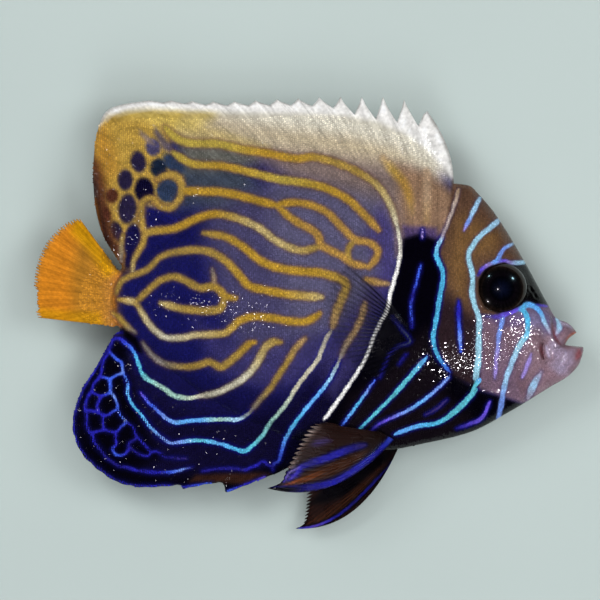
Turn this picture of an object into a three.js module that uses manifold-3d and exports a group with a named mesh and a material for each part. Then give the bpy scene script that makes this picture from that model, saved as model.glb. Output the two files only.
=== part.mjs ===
// An emperor angelfish in its changing coat, life size, lying on its left flank.
// Millimetres. +X runs to the snout, +Y to the back, +Z up out of the right flank.
// The fish's own plane of symmetry is level, so its side outline is read in X and Y.
import * as THREE from 'three';
import { mergeVertices } from 'three/addons/utils/BufferGeometryUtils.js';
import Module from 'manifold-3d';

const wasm = await Module();
wasm.setup();

// Driving sizes
const MIDPLANE = 8.55; // height of the plane of symmetry: the fullest part of the flank rests on 0
const GAP = 0.3; // clearance between neighbouring pieces
const CUT = GAP / 2; // each side's share of a parting cut
const FAR = 90; // reach of a cutting solid beyond the fish
const TAIL_END = -45.5;
const SNOUT_TIP = 63.4;
const RING_STEPS = 30; // facets round the body
const STATION_STEPS = 34; // facets along the body

// Side outline of the body without fins, [x, y], from the tail stalk to the lips
const BACK = [
  [TAIL_END, 3.4], [-43.8, 9.7], [-31.9, 17.9], [-22.7, 23.5], [-13.5, 27.1], [-2, 30.1],
  [9.5, 31.7], [19.9, 32], [29, 30.6], [36.9, 29.7], [39.4, 27.4], [42.7, 23.5], [49.3, 12.9],
  [55.1, 2.3], [56.9, -0.7], [59.7, -2], [61.2, -3.4], [62.4, -5.6], [SNOUT_TIP, -8.1],
];
const BELLY = [
  [TAIL_END, 3.4], [-43.8, -2.8], [-31.9, -13.3], [-22.7, -20.2], [-13.5, -25.3], [-2, -29.8],
  [9.5, -31.6], [18, -31.4], [26.6, -29.9], [36.9, -27.4], [46.8, -22.3], [55.8, -16.8],
  [59.9, -14.3], [62.2, -11.7], [SNOUT_TIP, -8.1],
];
// Half of the body's thickness at its fullest, [x, half thickness]
const FLANK = [
  [TAIL_END, 0.9], [-43.8, 2], [-38.8, 2.9], [-31.9, 4.3], [-22.7, 6], [-13.5, 7.5],
  [-2, 8.7], [9.5, 9], [21, 9], [29, 8.8], [34.4, 8.4], [39.5, 7.8], [44, 7.1], [48.7, 6.2],
  [52.1, 5.3], [55.1, 4.4], [57.8, 3.6], [61, 2.9], [SNOUT_TIP, 1.6],
];
// How the section thins towards back and belly: half is an ellipse, 1 is a keel
const KEEL = [[TAIL_END, 0.55], [-30, 0.7], [10, 0.78], [35, 0.74], [50, 0.6], [SNOUT_TIP, 0.5]];
const SECTION_FULLNESS = 2.3;

// Returns a smooth curve through the points that never swings past them.
function profile(points) {
  const xs = points.map((point) => point[0]);
  const ys = points.map((point) => point[1]);
  const last = xs.length - 1;
  const rise = xs.slice(1).map((x, i) => (ys[i + 1] - ys[i]) / (x - xs[i]));
  const slopes = xs.map((x, i) => {
    if (i === 0) return rise[0];
    if (i === last) return rise[last - 1];
    if (rise[i - 1] * rise[i] <= 0) return 0;
    return (2 * rise[i - 1] * rise[i]) / (rise[i - 1] + rise[i]);
  });
  return (value) => {
    const x = THREE.MathUtils.clamp(value, xs[0], xs[last]);
    let i = 0;
    while (i < last - 1 && x > xs[i + 1]) i += 1;
    const span = xs[i + 1] - xs[i];
    const s = (x - xs[i]) / span;
    const ease = s * s * (3 - 2 * s);
    const start = slopes[i] * span * s * (1 - s) * (1 - s);
    const end = slopes[i + 1] * span * s * s * (s - 1);
    return ys[i] * (1 - ease) + ys[i + 1] * ease + start + end;
  };
}

const backAt = profile(BACK);
const bellyAt = profile(BELLY);
const flankAt = profile(FLANK);
const keelAt = profile(KEEL);

// Half of the body's thickness at a point of the side outline, or 0 outside it.
function halfThickness(x, y) {
  if (x <= TAIL_END || x >= SNOUT_TIP) return 0;
  const centre = (backAt(x) + bellyAt(x)) / 2;
  const half = (backAt(x) - bellyAt(x)) / 2;
  const t = Math.min(1, Math.abs((y - centre) / half));
  return flankAt(x) * (1 - t ** SECTION_FULLNESS) ** keelAt(x);
}

// Makes a closed solid of a geometry, facing out even where a mapping has turned it inside out.
function solid(source) {
  const geometry = source.clone();
  geometry.deleteAttribute('normal');
  geometry.deleteAttribute('uv');
  const merged = mergeVertices(geometry, 1e-5);
  const position = merged.attributes.position;
  const corner = [0, 1, 2].map(() => new THREE.Vector3());
  const faces = [];
  let volume = 0;
  for (let i = 0; i < merged.index.count; i += 3) {
    const face = [0, 1, 2].map((k) => merged.index.getX(i + k));
    if (new Set(face).size < 3) continue;
    face.forEach((vertex, k) => corner[k].fromBufferAttribute(position, vertex));
    volume += corner[0].dot(corner[1].clone().cross(corner[2]));
    faces.push(face);
  }
  if (volume < 0) faces.forEach((face) => face.reverse());
  return new wasm.Manifold(new wasm.Mesh({
    numProp: 3,
    vertProperties: new Float32Array(position.array),
    triVerts: new Uint32Array(faces.flat()),
  }));
}

// Moves every vertex of a geometry to where a function puts it.
function mapped(geometry, place) {
  const position = geometry.attributes.position;
  const point = new THREE.Vector3();
  for (let i = 0; i < position.count; i += 1) {
    place(point.fromBufferAttribute(position, i));
    position.setXYZ(i, point.x, point.y, point.z);
  }
  return geometry;
}

// The whole body without fins, grown all round by a clearance.
function body(grow = 0) {
  const middle = (SNOUT_TIP + TAIL_END) / 2;
  const reach = (SNOUT_TIP - TAIL_END) / 2;
  const ball = new THREE.SphereGeometry(1, RING_STEPS, STATION_STEPS);
  return solid(mapped(ball, (point) => {
    const along = point.y;
    const round = Math.hypot(point.x, point.z) || 1;
    const t = point.z / round;
    const x = middle + reach * along;
    const centre = (backAt(x) + bellyAt(x)) / 2;
    const half = (backAt(x) - bellyAt(x)) / 2;
    const closing = Math.hypot(point.x, point.z) < 1e-6 ? 0 : 1;
    const side = Math.sign(point.x) * (1 - Math.abs(t) ** SECTION_FULLNESS) ** keelAt(x);
    point.set(
      x + Math.sign(along) * grow * Math.abs(along) ** 8,
      centre + closing * (half + grow) * t,
      MIDPLANE + closing * side * (flankAt(x) + grow),
    );
  }));
}

// A straight cutting solid over a polygon of the side outline, between two heights.
function prism(outline, low = -FAR, high = FAR) {
  const shape = new THREE.Shape(outline.map(([x, y]) => new THREE.Vector2(x, y)));
  const geometry = new THREE.ExtrudeGeometry(shape, { depth: high - low, bevelEnabled: false });
  geometry.translate(0, 0, low);
  return solid(geometry);
}

// Points of a smooth curve through a few given ones, shifted along X.
function smooth(points, count, shift = 0) {
  const curve = new THREE.SplineCurve(points.map(([x, y]) => new THREE.Vector2(x + shift, y)));
  return curve.getPoints(count).map((point) => [point.x, point.y]);
}

// Parting lines of the head, each from the back down to the belly
const GILL_OPENING = [
  [37.4, 33], [36, 29.5], [34.2, 25.5], [31.6, 20.5], [29.7, 14.7], [30.4, 7.8], [28.8, -2],
  [29.1, -8.3], [30.7, -11.5], [32.8, -14], [33, -18], [31, -24.5], [29.4, -33],
];
const PREOPERCLE = [
  [36.9, 17.5], [36.6, 12.4], [37.7, 6.7], [37.4, 3.5], [38.5, -1.6], [38.8, -5.8], [38.4, -17],
];
const GILL_COVER_TOP = [[24, 20], [36.7, 14.2]];
const GILL_COVER_BOTTOM = [[38.4, -15.6], [30, -12.4]];
const GILL_COVER_DEPTH = 1.5; // distance of its inner face from the plane of symmetry
const TAIL_STALK_FRONT = -38.8;
const MOUTH_CORNER = [58.9, -7.1];
const MOUTH_OPENING = [MOUTH_CORNER, [59.8, -5.6], [61.6, -4.3], [66, -3.4], [66, -7.6], [62.5, -7.5]];
const UPPER_JAW_BACK = [[57.2, 2], [56.7, -1], [56, -3.7], [56.4, -6.6]];
const LOWER_JAW_BACK = [[56.4, -7.1], [54.4, -8.7], [53.5, -11.7], [54.4, -15], [55.4, -20]];

// Everything in front of the gill opening, its edge moved back by a clearance.
function headRegion(grow) {
  return prism([...smooth(GILL_OPENING, 26, -grow), [FAR, -33], [FAR, 33]]);
}

// The plate between preopercle and gill opening on one side, grown by a clearance.
function gillCoverRegion(side, grow) {
  const [top, bottom] = [GILL_COVER_TOP[1][1], GILL_COVER_BOTTOM[0][1]];
  const outline = [
    ...GILL_COVER_TOP.map(([x, y]) => [x + grow, y + grow]),
    ...smooth(PREOPERCLE, 14, grow).filter(([, y]) => y < top - 1 && y > bottom + 1),
    ...GILL_COVER_BOTTOM.map(([x, y]) => [x + grow, y - grow]),
    [24, GILL_COVER_BOTTOM[1][1] - grow],
  ];
  const inner = GILL_COVER_DEPTH - grow;
  if (side > 0) return prism(outline, MIDPLANE + inner, FAR);
  return prism(outline, -FAR, MIDPLANE - inner);
}

// One jaw with its lip, its rear edge moved back by a clearance.
function upperJawRegion(grow) {
  const rear = UPPER_JAW_BACK.map(([x, y]) => [x - grow, y]);
  return prism([...rear, [MOUTH_CORNER[0], MOUTH_CORNER[1] + CUT - grow], [66, -6.5], [66, 2]]);
}

function lowerJawRegion(grow) {
  const rear = LOWER_JAW_BACK.map(([x, y]) => [x - grow, y]);
  rear[0][1] += grow - CUT;
  return prism([...rear, [66, -20], [66, -6.6], [MOUTH_CORNER[0], MOUTH_CORNER[1] - CUT + grow]]);
}

// Eyes
const EYE = { x: 44.3, y: 5.8, radius: 6.3, bulge: 3.7, depth: 2.1, turn: 0.09, lift: 0.05 };

function eye(side, grow = 0) {
  const geometry = new THREE.SphereGeometry(1, 16, 10);
  geometry.rotateX(Math.PI / 2);
  geometry.scale(EYE.radius + grow, EYE.radius + grow, EYE.bulge + grow);
  geometry.rotateY(side * EYE.turn);
  geometry.rotateX(-side * EYE.lift);
  const out = halfThickness(EYE.x, EYE.y) - EYE.depth;
  geometry.translate(EYE.x, EYE.y, MIDPLANE + side * out);
  return solid(geometry);
}

// The spine at the lower corner of the preopercle, lying back along the cheek
const CHEEK_SPINE = { root: [39.2, -14.6], tip: [36.6, -18.9], radius: 0.75, point: 0.2 };

function cheekSpine(side) {
  const root = new THREE.Vector2(...CHEEK_SPINE.root);
  const tip = new THREE.Vector2(...CHEEK_SPINE.tip);
  const length = root.distanceTo(tip);
  const cone = new THREE.CylinderGeometry(CHEEK_SPINE.point, CHEEK_SPINE.radius, length, 10, 5);
  cone.translate(0, length / 2, 0);
  const run = tip.clone().sub(root).normalize();
  return solid(mapped(cone, (point) => {
    const x = root.x + run.x * point.y - run.y * point.x;
    const y = root.y + run.y * point.y + run.x * point.x;
    const axis = root.clone().addScaledVector(run, point.y);
    const stand = halfThickness(axis.x, axis.y) + GAP + CHEEK_SPINE.radius;
    point.set(x, y, MIDPLANE + side * (stand + point.z));
  }));
}

// Fins
const FIN_EDGE = 0.3; // half thickness at the margin
const FIN_ROOT = 0.85; // half thickness where a fin meets the body
const ROOT_DEPTH = 1.6; // how far a fin's root reaches under the body before it is cut to fit
const SPINE_RIDGE = 0.22; // how far a spine stands out of its membrane

// A thin fin whose rays run from a root curve to a margin curve. Both take u from 0 to 1.
// bow bends the rays forward, thickness and height take u, v and the point's place.
function fin({ root, margin, bow = () => 0, thickness, height = () => MIDPLANE, across, along }) {
  const slab = new THREE.BoxGeometry(1, 1, 1, across, along, 1);
  return solid(mapped(slab, (point) => {
    const u = point.x + 0.5;
    const v = point.y + 0.5;
    const from = root(u);
    const to = margin(u);
    const x = from[0] + (to[0] - from[0]) * v + bow(u) * 4 * v * (1 - v);
    const y = from[1] + (to[1] - from[1]) * v;
    point.set(x, y, height(u, v, x, y) + point.z * 2 * thickness(u, v));
  }));
}

// Returns a function of u along a smooth open curve through the given points.
function along(points) {
  const curve = new THREE.SplineCurve(points.map(([x, y]) => new THREE.Vector2(x, y)));
  return (u) => curve.getPointAt(THREE.MathUtils.clamp(u, 0, 1)).toArray();
}

const tapered = (u, v) => FIN_ROOT + (FIN_EDGE - FIN_ROOT) * Math.min(1, v * 1.15);

// Spiny part of the dorsal fin: rays of even pitch along the back, tips of wider pitch above
const DORSAL_SPINES = 14;
const DORSAL_ROOT_FRONT = 33.3;
const DORSAL_ROOT_PITCH = 4.08;
const DORSAL_TIP_FRONT = 26.8;
const DORSAL_TIP_PITCH = 4.88;
const DORSAL_MARGIN = profile([
  [-42.9, 48.3], [-35.3, 49.3], [-21, 49], [-2.6, 49.7], [6.6, 50.1], [16.4, 50.1],
  [21.7, 49.5], [26.8, 47.4],
]);
const NOTCH_DEPTH = profile([[0, 4.8], [1, 5.5], [2, 5.1], [3, 4.1], [4, 2.6], [6, 1.5], [13, 0.4]]);
const NOTCH_PLACE = 0.34; // where the membrane is lowest, as a part of the way to the next tip
const NOTCH_STEPS = [0, 0.16, NOTCH_PLACE, 0.7]; // where the margin has vertices between two tips
const LAST_SPINE = DORSAL_SPINES - 1;
const FIRST_SPINE_BOW = 1.8; // how far the first spine bends forward

function dorsalSpinesPlace(u) {
  const step = Math.round(u * LAST_SPINE * NOTCH_STEPS.length);
  const spine = Math.floor(step / NOTCH_STEPS.length);
  return { spine, part: NOTCH_STEPS[step % NOTCH_STEPS.length] };
}

function dorsalSpinesMargin(u) {
  const { spine, part } = dorsalSpinesPlace(u);
  const x = DORSAL_TIP_FRONT - DORSAL_TIP_PITCH * (spine + part);
  const down = part < NOTCH_PLACE ? part / NOTCH_PLACE : (1 - part) / (1 - NOTCH_PLACE);
  return [x, DORSAL_MARGIN(x) - NOTCH_DEPTH(spine) * down];
}

function dorsalSpines() {
  return fin({
    root: (u) => {
      const { spine, part } = dorsalSpinesPlace(u);
      const x = DORSAL_ROOT_FRONT - DORSAL_ROOT_PITCH * (spine + part);
      return [x, backAt(x) - ROOT_DEPTH];
    },
    margin: dorsalSpinesMargin,
    bow: (u) => 0.2 + FIRST_SPINE_BOW * Math.exp(-4 * LAST_SPINE * u),
    thickness: (u, v) => {
      const ridge = dorsalSpinesPlace(u).part === 0 ? SPINE_RIDGE : 0;
      return tapered(u, v) + ridge * (1 - 0.6 * v);
    },
    across: LAST_SPINE * NOTCH_STEPS.length,
    along: 3,
  });
}

// Soft part of the dorsal fin, rounded at its rear corner
const DORSAL_LAST_TIP_X = DORSAL_TIP_FRONT - DORSAL_TIP_PITCH * LAST_SPINE;
const DORSAL_LAST_ROOT_X = DORSAL_ROOT_FRONT - DORSAL_ROOT_PITCH * LAST_SPINE;
const DORSAL_REAR = [
  [DORSAL_LAST_TIP_X - 0.35, DORSAL_MARGIN(DORSAL_LAST_TIP_X)], [-42.9, 48.3], [-46.6, 46.7],
  [-48.4, 43], [-49.4, 37.3], [-49.6, 30.4], [-48.9, 23.4], [-46.9, 17.2], [-43, 11.4],
];

function dorsalRays() {
  const front = DORSAL_LAST_ROOT_X - 0.35;
  const rear = -43;
  return fin({
    root: (u) => {
      const x = front + (rear - front) * u;
      return [x, backAt(x) - ROOT_DEPTH];
    },
    margin: along(DORSAL_REAR),
    bow: (u) => 0.4 * (1 - u),
    thickness: tapered,
    across: 18,
    along: 4,
  });
}

// Anal fin: short spines in front, a broad rounded lobe behind
const ANAL_MARGIN = [
  [-2, -32.4], [-4.9, -35.6], [-11.4, -38.4], [-18.6, -40.8], [-22.4, -39.7], [-28.4, -40.2],
  [-33, -39.8], [-39, -40], [-43.8, -38.9], [-47.7, -36.6], [-51.6, -33.1], [-53.8, -29],
  [-54.4, -24.4], [-52.4, -17.7], [-49.2, -12.6], [-46.4, -7.6], [-44.6, -4.6],
];

function analFin() {
  return fin({
    root: (u) => {
      const x = -1 - 42.2 * u;
      return [x, bellyAt(x) + ROOT_DEPTH];
    },
    margin: along(ANAL_MARGIN),
    bow: () => 0.8,
    thickness: tapered,
    across: 32,
    along: 4,
  });
}

// Tail fin: a short fan whose ray tips stand free
const TAIL_MARGIN = [
  [-52.9, 22.3], [-55.8, 21.1], [-58.4, 18.9], [-60.9, 15.8], [-62.7, 11.3], [-63.4, 6],
  [-63.4, 2.4], [-62.4, -0.8],
];
const TAIL_ROOT = [[-43.7, 9.9], [-42.2, 6], [-42, 3.4], [-42.2, 0.8], [-43.9, -3]];
const TAIL_CENTRE = [-43, 3.5]; // where the rays would meet
const TAIL_RAYS = 16;
const TAIL_FRINGE = 0.7; // how deep the membrane is cut in between two ray tips

function tailFin() {
  const root = along(TAIL_ROOT);
  const margin = along(TAIL_MARGIN);
  return fin({
    root,
    margin: (u) => {
      const tip = new THREE.Vector2(...margin(u));
      const inward = new THREE.Vector2(...TAIL_CENTRE).sub(tip).normalize();
      const between = Math.round(u * TAIL_RAYS * 2) % 2;
      return tip.addScaledVector(inward, between * TAIL_FRINGE).toArray();
    },
    thickness: tapered,
    across: TAIL_RAYS * 2,
    along: 2,
  });
}

// Pectoral fins: a fan folded back along the flank
const PECTORAL_HALF = 0.28;
const PECTORAL_ROOT = [[22.9, -2.8], [23, -7.2]];
const PECTORAL_MARGIN = [
  [9.4, 12.2], [6.2, 9.6], [4.2, 5.4], [3.6, 0.4], [4.6, -4.6], [7.6, -9.4], [11.6, -13], [15.6, -15],
];

function pectoralFin(side, grow = 0) {
  const clearance = PECTORAL_HALF + GAP;
  const reach = PECTORAL_HALF + grow;
  return fin({
    root: along(PECTORAL_ROOT.map(([x, y]) => [x + grow, y])),
    margin: along(PECTORAL_MARGIN.map(([x, y]) => [x - grow, y + grow * Math.sign(y)])),
    bow: (u) => 0.6 + u,
    thickness: () => reach,
    height: (u, v, x, y) => {
      const stand = halfThickness(x, y) + clearance;
      return MIDPLANE + side * Math.min(stand, side > 0 ? FAR : MIDPLANE - PECTORAL_HALF);
    },
    across: 10,
    along: 6,
  });
}

// Pelvic fins: a long pointed fin under each side of the breast
const PELVIC_HALF = 0.3;
const PELVIC_RIGHT = {
  root: [[19.6, -28.8], [16.6, -27]],
  margin: [[-9.5, -39.8], [-6.3, -38.4], [-5, -35.4], [-2.2, -29.8], [0.2, -25.9], [3.4, -24.7], [6, -25.4]],
  bow: [0.4, -5],
  rise: [3, 5.2],
};
const PELVIC_LEFT = {
  root: [[20.6, -31.2], [17.4, -30.2]],
  margin: [[-3, -49.9], [-1.2, -48.6], [-0.6, -44.6], [-0.2, -41], [1.6, -38.6], [4.4, -36.4]],
  bow: [1.6, -5],
  rise: [2.8, 5.6],
};

function pelvicFin(side, shape) {
  const [frontBow, frontDrop] = shape.bow;
  const bend = (u, v) => 4 * v * (1 - v) * (1 - u);
  const root = along(shape.root);
  const margin = along(shape.margin);
  const slab = new THREE.BoxGeometry(1, 1, 1, 10, 7, 1);
  return solid(mapped(slab, (point) => {
    const u = point.x + 0.5;
    const v = point.y + 0.5;
    const from = root(u);
    const to = margin(u);
    const x = from[0] + (to[0] - from[0]) * v + frontBow * bend(u, v);
    const y = from[1] + (to[1] - from[1]) * v + frontDrop * bend(u, v);
    const skin = halfThickness(x, y) + GAP + PELVIC_HALF;
    const rise = shape.rise[0] + (shape.rise[1] - shape.rise[0]) * v;
    point.set(x, y, MIDPLANE + side * (Math.max(skin, rise) + point.z * 2 * PELVIC_HALF));
  }));
}

// Assembly
const group = new THREE.Group();

function add(name, shape, color, roughness = 0.35) {
  const { vertProperties, triVerts } = shape.getMesh();
  const geometry = new THREE.BufferGeometry();
  geometry.setAttribute('position', new THREE.BufferAttribute(vertProperties, 3));
  geometry.setIndex(new THREE.BufferAttribute(triVerts, 1));
  geometry.computeVertexNormals();
  const mesh = new THREE.Mesh(geometry, new THREE.MeshStandardMaterial({ color, roughness, metalness: 0 }));
  mesh.name = name;
  group.add(mesh);
}

const INDIGO = 0x23205e;
const BROWN = 0x5c4432;
const MAUVE = 0x9a7a8c;
const ORANGE = 0xe0901c;
const PALE_GOLD = 0xc9b486;
const BLACK = 0x0b0a14;
const BLUE = 0x2a30a8;
const TURQUOISE = 0x6fd6e0;

const floor = prism([[-FAR, -FAR], [FAR, -FAR], [FAR, FAR], [-FAR, FAR]], -FAR, 0);
const whole = body().subtract(floor);
const clearance = body(GAP);
const mouth = prism(MOUTH_OPENING);
const stalkRegion = (grow) => prism([[-FAR, -FAR], [TAIL_STALK_FRONT + grow, -FAR],
  [TAIL_STALK_FRONT + grow, FAR], [-FAR, FAR]]);

const trunk = whole
  .subtract(headRegion(CUT))
  .subtract(stalkRegion(CUT))
  .subtract(pectoralFin(-1, GAP));
add('trunk', trunk, INDIGO);
add('tail_stalk', whole.intersect(stalkRegion(-CUT)), BROWN);

const front = whole.intersect(headRegion(-CUT)).subtract(mouth);
let head = front.subtract(upperJawRegion(CUT)).subtract(lowerJawRegion(CUT));
const sides = [['right', 1], ['left', -1]];
sides.forEach(([word, side]) => {
  head = head.subtract(gillCoverRegion(side, CUT)).subtract(eye(side, GAP));
  add(`gill_cover_${word}`, front.intersect(gillCoverRegion(side, -CUT)), BROWN);
  add(`eye_${word}`, eye(side), BLACK, 0.08);
  add(`cheek_spine_${word}`, cheekSpine(side), TURQUOISE);
  add(`pectoral_fin_${word}`, pectoralFin(side), BLUE);
});
add('head', head, BROWN);
add('upper_jaw', front.intersect(upperJawRegion(-CUT)), MAUVE);
add('lower_jaw', front.intersect(lowerJawRegion(-CUT)), MAUVE);

add('dorsal_fin_spines', dorsalSpines().subtract(clearance), PALE_GOLD);
add('dorsal_fin_rays', dorsalRays().subtract(clearance), PALE_GOLD);
add('anal_fin', analFin().subtract(clearance), BLUE);
add('tail_fin', tailFin().subtract(clearance), ORANGE);
add('pelvic_fin_right', pelvicFin(1, PELVIC_RIGHT), BLUE);
add('pelvic_fin_left', pelvicFin(-1, PELVIC_LEFT), BLUE);

export default group;
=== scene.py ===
"""An emperor angelfish in its changing coat, life size, lying on its left flank.

One skin stands for the flesh and the upright fins. Scales lie over it, and the eyes, cheek spines, breast
fins and belly fins are pieces of their own. Lengths are in millimetres until a piece is finished, +X runs
to the snout, +Y to the back and +Z up out of the right flank, as in the solids.
"""
from __future__ import annotations

import logging
import math
from dataclasses import dataclass
from enum import Enum
from typing import Callable

import bmesh
import bpy
import numpy as np
from mathutils import Matrix, Vector
from mathutils.bvhtree import BVHTree


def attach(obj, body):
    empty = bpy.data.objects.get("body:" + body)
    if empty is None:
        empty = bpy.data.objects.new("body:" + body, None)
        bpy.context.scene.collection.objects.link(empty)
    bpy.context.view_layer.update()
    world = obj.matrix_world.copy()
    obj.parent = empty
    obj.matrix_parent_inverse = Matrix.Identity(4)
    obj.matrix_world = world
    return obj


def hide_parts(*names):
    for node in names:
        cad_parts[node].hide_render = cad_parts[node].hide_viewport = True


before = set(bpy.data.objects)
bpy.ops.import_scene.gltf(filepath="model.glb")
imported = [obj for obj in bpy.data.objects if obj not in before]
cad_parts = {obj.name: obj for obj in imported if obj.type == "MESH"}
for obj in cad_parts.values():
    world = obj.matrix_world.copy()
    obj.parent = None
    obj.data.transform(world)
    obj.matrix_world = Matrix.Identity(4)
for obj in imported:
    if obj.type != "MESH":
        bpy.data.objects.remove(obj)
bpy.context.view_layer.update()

log = logging.getLogger("angelfish")

Points = tuple[tuple[float, float], ...]
Array = np.ndarray
# Takes u and v from 0 to 1 and gives x, y and half of the thickness there
Placer = Callable[[Array, Array], tuple[Array, Array, Array]]

MM = 0.001
MIDPLANE = 8.55  # height of the plane of symmetry
COAT = 0.14  # depth of the scales, by which the skin lies inside the solids
FLOOR_GAP = 0.12  # the pressed flank's skin above the floor
SCALE_FLOOR = 0.03  # the pressed scales above the floor
FAR_LEVEL = -9.0  # level of a place that no marking comes near
REACH = 2.5  # how far beside a marking its level is worked out


class Side(Enum):
    """The two flanks, with the sign of their height over the plane of symmetry."""

    RIGHT = 1
    LEFT = -1

    @property
    def word(self) -> str:
        """The flank's name in piece names."""
        return self.name.lower()


class Tone(Enum):
    """Colours of the coat as a screen shows them, from 0 to 255."""

    NAVY = (20, 20, 76)
    DEEP_NAVY = (18, 16, 60)
    NIGHT = (12, 9, 35)
    BLACK = (3, 2, 8)
    MASK_BLACK = (5, 4, 5)
    INDIGO = (54, 49, 95)
    DARK_VIOLET = (34, 28, 54)
    DARK_SLATE = (40, 52, 76)
    DEEP_TEAL = (20, 30, 48)
    VIOLET_GREY = (67, 63, 95)
    VIOLET_BLUE = (58, 50, 104)
    # Lilac grey with a painted sheen, for the upper flank
    LILAC_GREY = (83, 80, 107)
    SLATE = (57, 65, 75)
    SAGE = (98, 97, 86)
    TAUPE = (122, 105, 98)
    BEIGE = (180, 166, 138)
    CREAM_GREY = (203, 198, 183)
    WHITE = (240, 238, 235)
    CREAM = (190, 184, 162)
    PALE_GOLD = (176, 156, 104)
    OLIVE_GOLD = (162, 142, 62)
    GOLD = (162, 127, 44)
    AMBER = (158, 122, 60)
    DULL_GOLD = (148, 121, 58)
    FAINT_GOLD = (158, 128, 88)
    GREY_GOLD = (124, 117, 112)
    TAN = (184, 156, 112)
    SAND = (164, 138, 112)
    FIN_GOLD = (166, 134, 60)
    FIN_YELLOW = (198, 174, 92)
    ORANGE = (210, 130, 34)
    RUSTY_ORANGE = (160, 114, 42)
    UMBER = (64, 35, 22)
    EDGE_BROWN = (70, 38, 28)
    YELLOW_ORANGE = (200, 144, 14)
    PALE_ORANGE = (226, 170, 96)
    FLESH = (186, 114, 56)
    RUST = (124, 64, 28)
    DARK_BROWN = (38, 20, 17)
    SHOULDER_BROWN = (136, 107, 84)
    HEAD_BROWN = (86, 62, 48)
    OCHRE = (112, 82, 46)
    CHEEK_BROWN = (34, 22, 28)
    OCHRE_RIM = (86, 58, 52)
    MAUVE = (108, 86, 103)
    MUZZLE_PINK = (136, 109, 119)
    # Dark red of the slit behind the lip, darkened further as painted shade in the slit
    SLIT_RED = (96, 44, 52)
    # Painted shade for the folds round the mouth
    FOLD_GREY = (110, 84, 92)
    LILAC = (150, 138, 164)
    # Lilac skin with a painted highlight, for the lit rims of the folds round the mouth
    PALE_LILAC = (160, 146, 168)
    MUZZLE_VIOLET = (84, 68, 112)
    MUZZLE_BROWN = (92, 68, 76)
    LIP_ORANGE = (160, 88, 66)
    LIP_RED = (140, 84, 92)
    GREY_PINK = (168, 152, 146)
    PALE_BLUE = (150, 190, 222)
    PALE_GREEN = (146, 184, 170)
    PALE_TURQUOISE = (144, 192, 212)
    TURQUOISE = (84, 174, 192)
    CYAN = (76, 170, 214)
    LIGHT_BLUE = (92, 162, 228)
    SKY = (110, 142, 218)
    BLUE = (60, 92, 214)
    ELECTRIC = (36, 34, 158)
    DIM_BLUE = (32, 28, 118)
    VIOLET = (96, 76, 200)
    SOFT_VIOLET = (142, 124, 192)
    DIM_VIOLET = (56, 44, 104)
    BLUE_RIM = (14, 14, 104)
    MEMBRANE_GREY = (18, 18, 24)
    RAY_BROWN = (30, 18, 15)

    @property
    def shade(self) -> Array:
        """The colour from 0 to 1, as a screen shows it."""
        return np.array(self.value) / 255


def to_light(shade: Array) -> Array:
    """Turns colours as a screen shows them into amounts of light."""
    return np.where(shade < 0.04045, shade / 12.92, ((shade + 0.055) / 1.055) ** 2.4)


def ease(value: Array, low: float, high: float) -> Array:
    """Rises smoothly from 0 at low to 1 at high."""
    t = np.clip((value - low) / (high - low), 0, 1)
    return t * t * (3 - 2 * t)


def bell(distance: Array, reach: float) -> Array:
    """Falls smoothly from 1 at no distance to near 0 at twice the reach."""
    return np.exp(-((distance / reach) ** 2))


def path(text: str) -> Points:
    """Reads a row of points from a text that gives each as x,y."""
    pairs = (point.split(",") for point in text.split())
    return tuple((float(x), float(y)) for x, y in pairs)


@dataclass(frozen=True)
class Profile:
    """A smooth line y(x) through given points that never swings past them."""

    points: str

    def __call__(self, x: Array) -> Array:
        """Works out the line's height, held level past its ends.

        Args:
            x: Where it is wanted.

        Returns:
            The height at each x.
        """
        xs, ys = np.array(path(self.points)).T
        rise = np.diff(ys) / np.diff(xs)
        product = rise[:-1] * rise[1:]
        total = np.where(product > 0, rise[:-1] + rise[1:], 1)
        inner = np.where(product > 0, 2 * product / total, 0)
        slopes = np.concatenate([rise[:1], inner, rise[-1:]])
        x = np.clip(x, xs[0], xs[-1])
        i = np.clip(np.searchsorted(xs, x) - 1, 0, len(xs) - 2)
        span = xs[i + 1] - xs[i]
        s = (x - xs[i]) / span
        blend = s * s * (3 - 2 * s)
        bent = slopes[i] * s * (1 - s) ** 2 + slopes[i + 1] * s * s * (s - 1)
        return ys[i] * (1 - blend) + ys[i + 1] * blend + span * bent


@dataclass(frozen=True)
class Spline:
    """A smooth open line through given points."""

    points: Points
    steps: int = 6  # straight lengths between two given points

    def line(self) -> Array:
        """Returns points close together along the line, one row each."""
        given = np.array(self.points, float)
        padded = np.vstack([given[:1], given, given[-1:]])
        t = np.linspace(0, 1, self.steps, endpoint=False)[:, None]
        rows = []
        for a, b, c, d in zip(padded, padded[1:], padded[2:], padded[3:]):
            leave, arrive = (c - a) / 2, (d - b) / 2
            cubic = (2 * b - 2 * c + leave + arrive) * t**3
            square = (3 * c - 3 * b - 2 * leave - arrive) * t**2
            rows.append(cubic + square + leave * t + b)
        return np.vstack([*rows, given[-1:]])

    def at(self, share: Array) -> Array:
        """Finds points on the line.

        Args:
            share: Shares of the line's length.

        Returns:
            The point at each share, one row each.
        """
        line = self.line()
        run = np.concatenate([[0], np.cumsum(np.hypot(*np.diff(line, axis=0).T))])
        place = np.clip(share, 0, 1) * run[-1]
        return np.stack([np.interp(place, run, axis) for axis in line.T], -1)


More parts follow.
